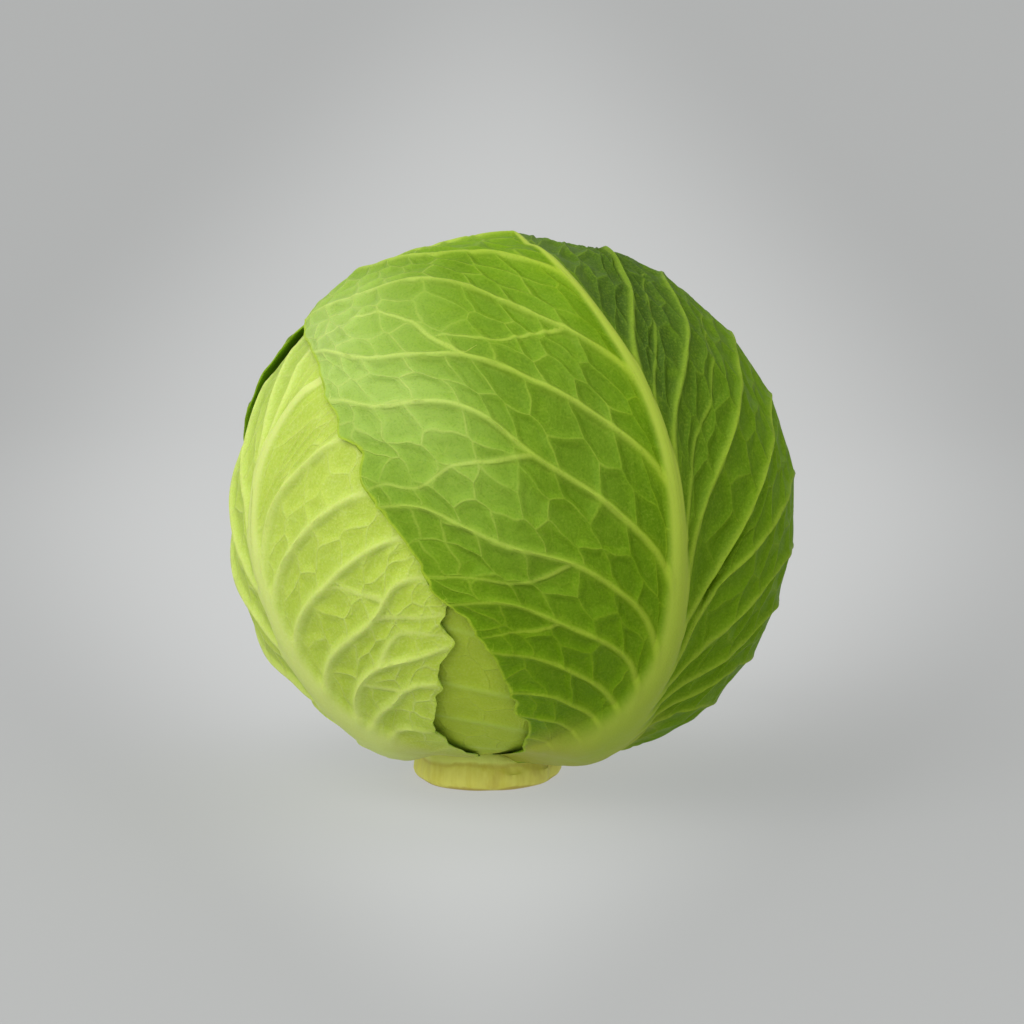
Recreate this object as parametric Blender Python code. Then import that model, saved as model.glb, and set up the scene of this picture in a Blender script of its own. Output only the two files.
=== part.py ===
"""A green cabbage head: five wrapper leaves round a tight heart, on its trimmed stem.

The origin is the middle of the stem's cut face, and the cabbage stands upright on it.
Leaf outlines are drawn on the head in degrees: longitude from the front (-Y), positive
towards +X, and latitude from the middle of the head, positive upwards.
"""

import bmesh
import bpy
import numpy as np

# Driving dimensions, in metres
MM = 0.001
HEAD_CENTRE = np.array((7.6, 0.0, 80.0)) * MM
HEAD_RADIUS = 82.5 * MM
HEART_RADIUS = 78.0 * MM
HEART_TOP_RADIUS = 75.0 * MM
HEART_BASE_RADIUS = 71.5 * MM
# Where the heart is fuller or flatter: longitude, latitude, amount in mm, spread in degrees
SWELLINGS = ((180, 84, 2.6, 32), (-90, -38, 4.6, 36), (-90, 14, -2.2, 22), (90, -38, 1.2, 22))
LEAF_THICKNESS = 0.8 * MM
LEAF_GAP = 0.9 * MM
STEM_RADIUS = 21.5 * MM
STEM_HEIGHT = 9.0 * MM
NECK_RADIUS = 15.0 * MM
NECK_TOP = 13.0 * MM

# How the head's underside draws in to the stem, in metres
SHIFT_HEIGHT = 13.0 * MM
DIMPLE_DEPTH = 9.0 * MM
DIMPLE_RADIUS = 24.0 * MM

# How far outside a leaf's edge the leaf over it starts to rise, and is fully raised
RISE_START = 22.0 * MM
RISE_END = 8.0 * MM
# How far outside a covering leaf's edge the ribs below it start to flatten
PRESS_START = 13.0 * MM
PRESS_END = 2.0 * MM

# Rows and columns of a leaf's mesh, as shares of its length and of the midrib's half width
SIDES = ("left", "right")
BASE_ROWS = (0.0, 0.012, 0.035, 0.065, 0.1)
RIB_HALF_WIDTH = 0.0075
MIDRIB_COLUMNS = (0.0, 0.55, 1.0)
OUTLINE_SAMPLES = 90

# How a leaf thickens at its base, its ribs fade to its edge, and its edge lifts and waves
BASE_END = 0.12
RIB_TAPER = 1.6
LIFT_START = 0.6
LIFT_SPREAD = 0.17
WAVE_STEP = 1.9
EDGE_WAVE = 0.018

HEART_SEGMENTS = 30
HEART_RINGS = 18
HEART_LEAVES = 5
HEART_STEP = 0.8 * MM
STEM_SEGMENTS = 32
STEM_COLOUR = (0.55, 0.55, 0.2)
HEART_COLOUR = (0.5, 0.62, 0.25)

LEAVES = (
    {
        "name": "inner_front_leaf",
        "colour": (0.36, 0.56, 0.13),
        "midrib": ((8, -75), (13, -58), (16, -35), (15, -10), (12, 15), (5, 40), (0, 62)),
        "left": ((-28, -75), (-42, -55), (-50, -33), (-53, -8), (-50, 15), (-38, 40), (-22, 58)),
        "right": ((42, -75), (54, -55), (60, -33), (62, -8), (57, 15), (42, 40), (24, 58)),
        "ribs": (0.18, 0.31, 0.46, 0.63, 0.81),
        "columns": 6,
        "spread": 0.7,
        "rise": 0.25,
        "midrib_height": (0.6, 1.6, 0.5),
        "midrib_half_width": (7.0, 5.0, 1.5),
        "rib_height": 0.5,
        "base_height": 2.4,
        "lift": (0.3, 0.3),
        "lift_at": (0.3, 0.3),
        "wave": (0.3, 0.3),
    },
    {
        "name": "inner_back_leaf",
        "colour": (0.33, 0.53, 0.12),
        "midrib": ((100, -75), (108, -56), (113, -32), (115, -5), (112, 22), (104, 46), (96, 60)),
        "left": ((68, -75), (66, -55), (60, -30), (57, 0), (60, 28), (68, 50), (76, 62)),
        "right": ((132, -75), (150, -55), (166, -30), (172, 0), (166, 28), (146, 50), (120, 62)),
        "ribs": (0.17, 0.26, 0.37, 0.5, 0.65, 0.82),
        "columns": 6,
        "spread": 0.7,
        "rise": 0.25,
        "midrib_height": (0.8, 2.2, 0.6),
        "midrib_half_width": (8.0, 5.5, 1.5),
        "rib_height": 0.8,
        "base_height": 1.0,
        "lift": (0.3, 0.5),
        "lift_at": (0.3, 0.3),
        "wave": (0.5, 0.8),
    },
    {
        "name": "left_leaf",
        "colour": (0.42, 0.62, 0.14),
        "midrib": ((-32, -75), (-38, -56), (-47, -39), (-53, -20), (-57, 2), (-54, 18), (-46, 30),
                   (-34, 47), (-16, 62)),
        "left": ((-70, -75), (-92, -60), (-108, -44), (-120, -22), (-124, 0), (-120, 22),
                 (-106, 42), (-76, 58), (-40, 68)),
        "right": ((-10, -75), (-13, -56), (-19, -44), (-17, -33), (-13, -21), (-11, -8), (-4, 10),
                  (2, 30), (6, 48), (4, 62)),
        "ribs": (0.15, 0.21, 0.28, 0.36, 0.46, 0.57, 0.7, 0.84),
        "columns": 8,
        "spread": 0.7,
        "rise": 0.22,
        "midrib_height": (0.2, 3.8, 0.8),
        "midrib_half_width": (9.0, 7.0, 1.4),
        "rib_height": 1.1,
        "base_height": 0.0,
        "lift": (0.4, 1.2),
        "lift_at": (0.3, 0.25),
        "wave": (0.6, 1.1),
    },
    {
        "name": "back_leaf",
        "colour": (0.17, 0.36, 0.06),
        "midrib": ((186, -75), (183, -56), (179, -30), (176, 0), (178, 26), (183, 48), (186, 64)),
        "left": ((152, -75), (137, -57), (127, -34), (121, -6), (125, 22), (140, 44), (160, 60)),
        "right": ((214, -75), (233, -60), (250, -42), (262, -18), (267, 6), (268, 26), (262, 44),
                  (232, 62)),
        "ribs": (0.15, 0.21, 0.28, 0.37, 0.47, 0.58, 0.71, 0.85),
        "columns": 8,
        "spread": 0.68,
        "rise": 0.24,
        "midrib_height": (0.3, 3.4, 0.8),
        "midrib_half_width": (9.0, 6.5, 1.5),
        "rib_height": 1.1,
        "base_height": 0.0,
        "lift": (0.8, 3.4),
        "lift_at": (0.2, 0.54),
        "wave": (1.0, 0.8),
    },
    {
        "name": "front_right_leaf",
        "colour": (0.2, 0.4, 0.06),
        "midrib": ((14, -75), (22, -60), (31, -46), (34, -30), (34, -12), (31, 8), (28, 28),
                   (24, 48), (17, 70), (190, 84), (194, 64), (196, 52)),
        "left": ((-10, -75), (-1, -60), (3, -44), (2, -33), (-4, -20), (-12, -9), (-20, 1),
                 (-28, 12), (-38, 23), (-50, 34), (-72, 42), (-98, 48), (-128, 54), (-158, 56)),
        "right": ((44, -75), (60, -62), (72, -50), (78, -38), (81, -26), (83, -14), (88, -3),
                  (96, 8), (110, 20), (128, 32), (150, 42), (174, 49)),
        "ribs": (0.15, 0.2, 0.26, 0.34, 0.44, 0.55, 0.68, 0.81, 0.92),
        "columns": 10,
        "spread": 0.68,
        "rise": 0.2,
        "midrib_height": (0.2, 3.0, 0.8),
        "midrib_half_width": (9.0, 6.0, 1.2),
        "rib_height": 1.0,
        "base_height": 0.0,
        "lift": (0.5, 1.6),
        "lift_at": (0.3, 0.16),
        "wave": (0.4, 1.4),
    },
)


def smoothstep(start, end, value):
    """A smooth step from 0 at start to 1 at end."""
    share = np.clip((value - start) / (end - start), 0.0, 1.0)
    return share * share * (3.0 - 2.0 * share)


def normalised(vectors):
    """Vectors scaled to unit length."""
    return vectors / np.linalg.norm(vectors, axis=-1, keepdims=True)


def directions_of(points):
    """Unit vectors from the head's middle towards (longitude, latitude) points in degrees."""
    lon, lat = np.radians(np.array(points, dtype=float)).T
    return np.stack([np.sin(lon) * np.cos(lat), -np.cos(lon) * np.cos(lat), np.sin(lat)], axis=-1)


def along(points, fractions):
    """Directions on a smooth curve through the points, by fraction of its length."""
    knots = directions_of(points)
    steps = np.linalg.norm(np.diff(knots, axis=0), axis=1)
    places = np.concatenate([[0.0], np.cumsum(steps)]) / steps.sum()
    slopes = np.gradient(knots, places, axis=0)
    fractions = np.clip(fractions, 0.0, 1.0)
    left = np.clip(np.searchsorted(places, fractions, side="right") - 1, 0, len(places) - 2)
    span = places[left + 1] - places[left]
    u = ((fractions - places[left]) / span)[..., None]
    span = span[..., None]
    start_part = (1 + 2 * u) * (1 - u) ** 2 * knots[left] + u * (1 - u) ** 2 * span * slopes[left]
    end_part = u ** 2 * (3 - 2 * u) * knots[left + 1] - u ** 2 * (1 - u) * span * slopes[left + 1]
    return normalised(start_part + end_part)


def outline_of(leaf):
    """The leaf's closed outline as directions: up its left edge and down its right one."""
    fractions = np.linspace(0.0, 1.0, OUTLINE_SAMPLES)
    tip = np.array([along(leaf["midrib"], np.array([1.0]))[0]])
    base = np.array([along(leaf["midrib"], np.array([0.0]))[0]])
    left = along(leaf["left"], fractions)
    right = along(leaf["right"], fractions)[::-1]
    return np.concatenate([left, tip, right, base])


def flattened(directions, middle):
    """Stereographic map of directions, centred on the given middle direction."""
    across = normalised(np.cross(middle, (0.3, 0.5, 0.8)))
    upward = np.cross(middle, across)
    depth = 1.0 + directions @ middle
    return np.stack([directions @ across, directions @ upward], axis=-1) / depth[..., None]


def distance_inside(leaf, directions):
    """Distance of each direction inside the leaf's outline, in metres, negative outside."""
    outline = outline_of(leaf)
    middle = normalised(outline.mean(axis=0))
    corners = flattened(outline, middle)
    places = flattened(directions, middle)
    following = np.roll(corners, -1, axis=0)
    crossings = np.zeros(len(places), dtype=int)
    for corner, after in zip(corners, following):
        straddles = (corner[1] > places[:, 1]) != (after[1] > places[:, 1])
        rise = after[1] - corner[1] if after[1] != corner[1] else 1.0
        crossing = corner[0] + (places[:, 1] - corner[1]) / rise * (after[0] - corner[0])
        crossings += straddles & (places[:, 0] < crossing)
    nearest = np.min(np.linalg.norm(directions[:, None] - outline[None], axis=2), axis=1)
    return np.where(crossings % 2 == 1, 1.0, -1.0) * nearest * HEAD_RADIUS


def place(directions, heights):
    """Points at the given heights above the heart, with the underside drawn in to the stem."""
    radii = np.full(directions.shape, HEART_RADIUS)
    radii[:, 2] = np.where(directions[:, 2] > 0.0, HEART_TOP_RADIUS, HEART_BASE_RADIUS)
    for lon, lat, amount, spread in SWELLINGS:
        away = np.degrees(np.arccos(np.clip(directions @ directions_of([(lon, lat)])[0], -1, 1)))
        heights = heights + amount * MM * np.exp(-(away / spread) ** 2)
    points = HEAD_CENTRE + directions * (radii + heights[:, None])
    points[:, 0] -= HEAD_CENTRE[0] * np.exp(-(points[:, 2] / SHIFT_HEIGHT) ** 2)
    from_axis = np.hypot(points[:, 0], points[:, 1])
    underside = 1.0 - smoothstep(0.3 * HEAD_CENTRE[2], HEAD_CENTRE[2], points[:, 2])
    points[:, 2] += DIMPLE_DEPTH * np.exp(-(from_axis / DIMPLE_RADIUS) ** 2) * underside
    return points


def riding_height(index, directions):
    """Height of a leaf's inner face above the heart: it lies over the leaves before it."""
    height = np.full(len(directions), LEAF_GAP)
    for lower in LEAVES[:index]:
        raised = smoothstep(-RISE_START, -RISE_END, distance_inside(lower, directions))
        height += raised * (LEAF_THICKNESS + LEAF_GAP)
    return height


def freedom(index, directions):
    """1 where a leaf is free, down to 0 where the leaves after it press it flat."""
    free = np.ones(len(directions))
    for upper in LEAVES[index + 1:]:
        free *= 1.0 - smoothstep(-PRESS_START, -PRESS_END, distance_inside(upper, directions))
    return free


def leaf_rows(leaf):
    """Fractions along the midrib for the mesh's rows, and each row's share of a rib's height."""
    rows = [(fraction, 0.0) for fraction in BASE_ROWS]
    previous = BASE_ROWS[-1]
    for rib in leaf["ribs"]:
        if previous > BASE_ROWS[-1]:
            rows.append(((previous + rib) / 2, 0.0))
        rows += [(rib - RIB_HALF_WIDTH, 0.0), (rib, 1.0), (rib + RIB_HALF_WIDTH, 0.0)]
        previous = rib
    rows += [((previous + 1.0) / 2, 0.0), (1.0, 0.0)]
    return np.array(rows).T


def along_leaf(values, rows):
    """A size in mm that goes from its value at the base, over that at a fifth, to the tip's."""
    return np.interp(rows, (0.0, 0.2, 1.0), values) * MM


def across_leaf(leaf, rows, margin, across):
    """Directions of one column: the shares across from the midrib to the margin, row by row."""
    ahead = rows + leaf["rise"] * across * smoothstep(0.0, 0.2, rows) * (1.0 - rows)
    midrib = along(leaf["midrib"], ahead)
    return normalised((1.0 - across)[:, None] * midrib + across[:, None] * margin)


def half_leaf(leaf, side):
    """Directions, relief and lift of one half of a leaf, as arrays of columns by rows."""
    rows, rib_share = leaf_rows(leaf)
    number = SIDES.index(side)
    margin = along(leaf[side], rows ** leaf["spread"])
    half_width = np.linalg.norm(margin - along(leaf["midrib"], rows), axis=1) * HEAD_RADIUS
    midrib_edge = np.minimum(along_leaf(leaf["midrib_half_width"], rows) / half_width, 0.4)
    wave = np.cos(WAVE_STEP * np.arange(len(rows)) + number)
    swell = np.exp(-((rows - leaf["lift_at"][number]) / LIFT_SPREAD) ** 2)
    directions, relief, lift = [], [], []
    for share in MIDRIB_COLUMNS:
        directions.append(across_leaf(leaf, rows, margin, share * midrib_edge))
        relief.append((1.0 - share ** 2) * along_leaf(leaf["midrib_height"], rows))
        lift.append(np.zeros(len(rows)))
    for share in np.arange(1, leaf["columns"] + 1) / leaf["columns"]:
        across = midrib_edge + (1.0 - midrib_edge) * share
        across *= 1.0 + EDGE_WAVE * wave * (share == 1.0)
        directions.append(across_leaf(leaf, rows, margin, across))
        relief.append(rib_share * leaf["rib_height"] * MM * min(1.0, RIB_TAPER * (1.0 - share)))
        raised = leaf["lift"][number] + leaf["wave"][number] * (0.5 + 0.5 * wave)
        lift.append(smoothstep(LIFT_START, 1.0, share) * swell * raised * MM)
    return np.array(directions), np.array(relief), np.array(lift)


def whole_leaf(leaf):
    """Directions, relief and lift over the whole leaf, from its left edge to its right one."""
    left_half, right_half = (half_leaf(leaf, side) for side in SIDES)
    return [np.concatenate([left[::-1], right[1:]]) for left, right in zip(left_half, right_half)]


def move_to(verts, points):
    """Move each vertex to its point."""
    for vert, point in zip(verts, points):
        vert.co = point


def leaf_mesh(index):
    """A closed leaf: its outer face, an even copy of it within, and a rim that joins them."""
    leaf = LEAVES[index]
    directions, relief, lift = whole_leaf(leaf)
    across, up = relief.shape
    directions = directions.reshape(-1, 3)
    free = freedom(index, directions)
    rows = np.tile(leaf_rows(leaf)[0], across)
    base = leaf["base_height"] * MM * (1.0 - smoothstep(0.0, BASE_END, rows))
    inner = riding_height(index, directions) + lift.ravel() * free
    outer = inner + LEAF_THICKNESS + (relief.ravel() + base) * free

    mesh = bmesh.new()
    grid = bmesh.ops.create_grid(mesh, x_segments=up - 1, y_segments=across - 1, size=1.0)
    move_to(grid["verts"], place(directions, outer))
    bmesh.ops.triangulate(mesh, faces=mesh.faces, quad_method="SHORT_EDGE")
    outer_face = list(mesh.verts) + list(mesh.edges) + list(mesh.faces)
    copy = bmesh.ops.duplicate(mesh, geom=outer_face)["geom"]
    move_to([item for item in copy if isinstance(item, bmesh.types.BMVert)],
            place(directions, inner))
    rim = [edge for edge in mesh.edges if edge.is_boundary]
    bmesh.ops.bridge_loops(mesh, edges=rim)
    bmesh.ops.recalc_face_normals(mesh, faces=mesh.faces)
    return mesh


def heart_mesh():
    """The tight heart, its closed leaves standing out as curved steps round it."""
    mesh = bmesh.new()
    sphere = bmesh.ops.create_uvsphere(
        mesh, u_segments=HEART_SEGMENTS, v_segments=HEART_RINGS, radius=1.0)
    directions = np.array([vert.co for vert in sphere["verts"]])
    directions = normalised(directions)
    lon = np.arctan2(directions[:, 0], -directions[:, 1])
    lat = np.arcsin(directions[:, 2])
    turns = HEART_LEAVES * (lon + 0.5 * np.sin(2.0 * lat)) / (2.0 * np.pi)
    step = (turns % 1.0) * np.cos(lat)
    move_to(sphere["verts"], place(directions, HEART_STEP * (step - 1.0)))
    return mesh


def stem_mesh():
    """The trimmed stem: a cut butt with an uneven outline, and the neck the leaves leave."""
    profile = (
        (0.9 * STEM_RADIUS, 0.0), (0.98 * STEM_RADIUS, 0.08 * STEM_HEIGHT),
        (STEM_RADIUS, 0.35 * STEM_HEIGHT), (0.98 * STEM_RADIUS, 0.75 * STEM_HEIGHT),
        (0.93 * STEM_RADIUS, STEM_HEIGHT), (NECK_RADIUS, 1.03 * STEM_HEIGHT),
        (0.93 * NECK_RADIUS, NECK_TOP),
    )
    mesh = bmesh.new()
    corners = [mesh.verts.new((radius, 0.0, height)) for radius, height in profile]
    for lower, upper in zip(corners, corners[1:]):
        mesh.edges.new((lower, upper))
    bmesh.ops.spin(
        mesh, geom=list(mesh.verts) + list(mesh.edges), cent=(0.0, 0.0, 0.0),
        axis=(0.0, 0.0, 1.0), angle=2.0 * np.pi, steps=STEM_SEGMENTS, use_merge=True)
    bmesh.ops.holes_fill(mesh, edges=mesh.edges)
    for vert in mesh.verts:
        around = np.arctan2(vert.co.y, vert.co.x)
        uneven = 1.0 + 0.012 * np.sin(3.0 * around + 1.0) + 0.01 * np.sin(5.0 * around)
        vert.co.x *= uneven
        vert.co.y *= uneven
    bmesh.ops.recalc_face_normals(mesh, faces=mesh.faces)
    return mesh


def material_of(name, colour, roughness):
    """A plain Principled material."""
    material = bpy.data.materials.new(name)
    material.use_nodes = True
    shader = material.node_tree.nodes["Principled BSDF"]
    shader.inputs["Base Color"].default_value = (*colour, 1.0)
    shader.inputs["Roughness"].default_value = roughness
    shader.inputs["Metallic"].default_value = 0.0
    return material


def add_object(name, mesh, colour, roughness):
    """Put a finished mesh in the scene as a smooth-shaded object with its own material."""
    data = bpy.data.meshes.new(name)
    mesh.to_mesh(data)
    mesh.free()
    data.shade_smooth()
    data.materials.append(material_of(name, colour, roughness))
    bpy.context.scene.collection.objects.link(bpy.data.objects.new(name, data))


def build_cabbage():
    """Model the stem, the heart and the wrapper leaves, from the inside out."""
    for item in list(bpy.data.objects):
        bpy.data.objects.remove(item)
    add_object("stem", stem_mesh(), STEM_COLOUR, 0.7)
    add_object("heart", heart_mesh(), HEART_COLOUR, 0.5)
    for index, leaf in enumerate(LEAVES):
        add_object(leaf["name"], leaf_mesh(index), leaf["colour"], 0.5)


build_cabbage()
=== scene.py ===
# Green cabbage: wrapper leaves with their veins and net, on a cut stem.
import math
import bmesh
import bpy
import numpy as np
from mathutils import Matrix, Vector


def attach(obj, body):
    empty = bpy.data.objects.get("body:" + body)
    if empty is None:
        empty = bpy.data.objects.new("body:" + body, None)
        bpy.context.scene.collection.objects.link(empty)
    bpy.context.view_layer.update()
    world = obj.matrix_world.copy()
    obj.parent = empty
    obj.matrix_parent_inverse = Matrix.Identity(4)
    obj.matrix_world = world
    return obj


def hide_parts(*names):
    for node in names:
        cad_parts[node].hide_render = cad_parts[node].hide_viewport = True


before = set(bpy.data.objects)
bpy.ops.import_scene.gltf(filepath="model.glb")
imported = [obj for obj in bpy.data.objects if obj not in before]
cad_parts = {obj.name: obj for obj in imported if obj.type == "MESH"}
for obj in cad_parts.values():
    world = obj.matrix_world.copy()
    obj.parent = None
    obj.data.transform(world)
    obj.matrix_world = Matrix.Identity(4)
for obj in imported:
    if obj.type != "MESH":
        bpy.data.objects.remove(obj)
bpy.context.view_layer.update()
print("frame loaded:", sorted(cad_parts))

mm = 0.001

# The cut stem that carries the head. Sizes in mm.
stemShape = {
    "radius": 21.9,
    "height": 6.6,                  # of the cut's side; over it a pale lip slopes up to the neck
    "lipTop": 10.8,
    "lipTilt": 0.085,               # the lip is this much higher for each mm to the left
    "neckRadius": 17.0,
    "neckTop": 15.5,
    "segments": 200,
    "notchAt": -0.42,               # radians round from +X
}

# The round head that every leaf lies on. Sizes in mm, angles in degrees.
head = {
    "centre": (7.6, 0.0, 80.0),     # middle of the head, from the middle of the cut face
    "sideRadius": 78.0,
    "topRadius": 75.0,
    "baseRadius": 71.5,
    # where it is fuller or flatter: longitude, latitude, amount, spread
    "swellings": ((180, 84, 1.6, 32), (-90, -38, 4.6, 36), (-90, 10, -0.4, 24),
                  (88, -38, 0.6, 24)),
    "drawInHeight": 13.0,           # below this the leaves draw in to the stem
    "seatHeight": 10.6,             # round the stem no leaf hangs lower than about this,
    "seatRise": 0.25,               # rising outwards,
    "seatRadius": (58.0, 70.0),
    "seatSoftness": 1.8,
    # and lower again here: longitude, spread, amount, and the radii from and to which it comes in
    "seatLower": ((48.0, 22.0, 9.0, 0.0, 1.0), (-48.0, 20.0, 5.5, 24.0, 34.0),
                  (-8.0, 13.0, 1.7, 18.0, 28.0)),
    "leafThickness": 0.8,
    "leafGap": 0.9,
    "riseStart": 22.0,              # a leaf starts to rise this far outside the edge under it
    "riseEnd": 8.0,
    "pressStart": 7.0,              # ribs flatten this far outside the leaf over them
    "pressEnd": 0.0,
}
headCentre = np.array(head["centre"])
sphereRadius = 82.5                 # mm, for distances along the surface

# What a leaf has unless its own entry says otherwise. Sizes in mm; a width is a half width.
usualLeaf = {
    "spread": 0.7,                  # a vein from x meets the margin at x to this power
    "lead": 0.25,                   # how far a plain vein leans towards the tip
    "baseHeight": 0.0,              # how much thicker the base is
    "veinHeight": (0.8, 0.3),       # at the midrib and at the margin
    "veinWidth": (1.1, 0.45),
    "cell": (13.0, 11.0),           # a cell of the net, along the veins and between them
    "shrink": 0.4,                  # the share by which the cells are smaller at the margin
    "puff": 0.9,                    # how far the leaf stands off inside its edge
    "crinkle": 0.6,                 # how much more the edge wanders near the base
    "swell": 0.25,                  # broad, soft unevenness
}

# Each leaf, from the inside out. Points are (longitude, latitude) on the head: longitude 0
# faces the camera and grows to the right. A vein is a list of points from the midrib to the
# margin, or the share of the midrib's length where a plain one starts. The midrib's heights
# and widths go with shares of its length. Pockets are the depths of the hollows between the
# veins and in the cells. Wander and ruffle are of the left and the right edge, and the edge
# lifts at: longitude, latitude, amount, spread.
innerFrontLeaf = {
    **usualLeaf,
    "name": "inner_front_leaf",
    "midrib": ((5, -79), (12, -58), (16, -35), (15, -10), (12, 15), (5, 40), (0, 62)),
    "left": {
        "margin": ((-34, -79), (-42, -55), (-50, -33), (-53, -8), (-50, 15), (-38, 40), (-22, 58)),
        "veins": (0.1, 0.17, 0.25, 0.35, 0.47, 0.62, 0.8),
    },
    "right": {
        "margin": ((46, -79), (54, -55), (60, -33), (62, -8), (57, 15), (42, 40), (24, 58)),
        "veins": (0.1, 0.17, 0.25, 0.35, 0.47, 0.62, 0.8),
    },
    "columns": (66, 54),
    "rows": 150,
    "midribHeight": ((0.0, 0.6), (0.2, 1.6), (1.0, 0.5)),
    "midribWidth": ((0.0, 6.0), (0.2, 3.0), (1.0, 0.8)),
    "baseHeight": 1.5,
    "veinHeight": (0.4, 0.2),
    "veinWidth": (1.3, 0.6),
    "pocket": 0.4,
    "cell": (14.0, 11.0),
    "cellPocket": 0.1,
    "puff": 0.0,
    "wander": (0.4, 0.4),
    "lifts": (),
    "ruffle": (0.2, 0.2),
    "seed": 11,
}
innerBackLeaf = {
    **usualLeaf,
    "name": "inner_back_leaf",
    "midrib": ((98, -79), (108, -56), (113, -32), (115, -5), (112, 22), (104, 46), (96, 60)),
    "left": {
        "margin": ((64, -79), (66, -55), (60, -30), (57, 0), (60, 28), (68, 50), (76, 62)),
        "veins": (0.12, 0.19, 0.28, 0.38, 0.5, 0.65, 0.82),
    },
    "right": {
        "margin": ((130, -79), (150, -55), (166, -30), (172, 0), (166, 28), (146, 50), (120, 62)),
        "veins": (0.11, 0.17, 0.25, 0.35, 0.47, 0.62, 0.8),
    },
    "columns": (84, 90),
    "rows": 210,
    "midribHeight": ((0.0, 0.8), (0.2, 2.2), (1.0, 0.6)),
    "midribWidth": ((0.0, 7.0), (0.2, 3.8), (0.6, 2.0), (1.0, 0.8)),
    "baseHeight": 1.0,
    "pocket": 0.8,
    "cellPocket": 0.7,
    "wander": (0.6, 0.8),
    "lifts": ((172, -20, 0.6, 25),),
    "ruffle": (0.3, 0.5),
    "swell": 0.3,
    "seed": 12,
}
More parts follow.
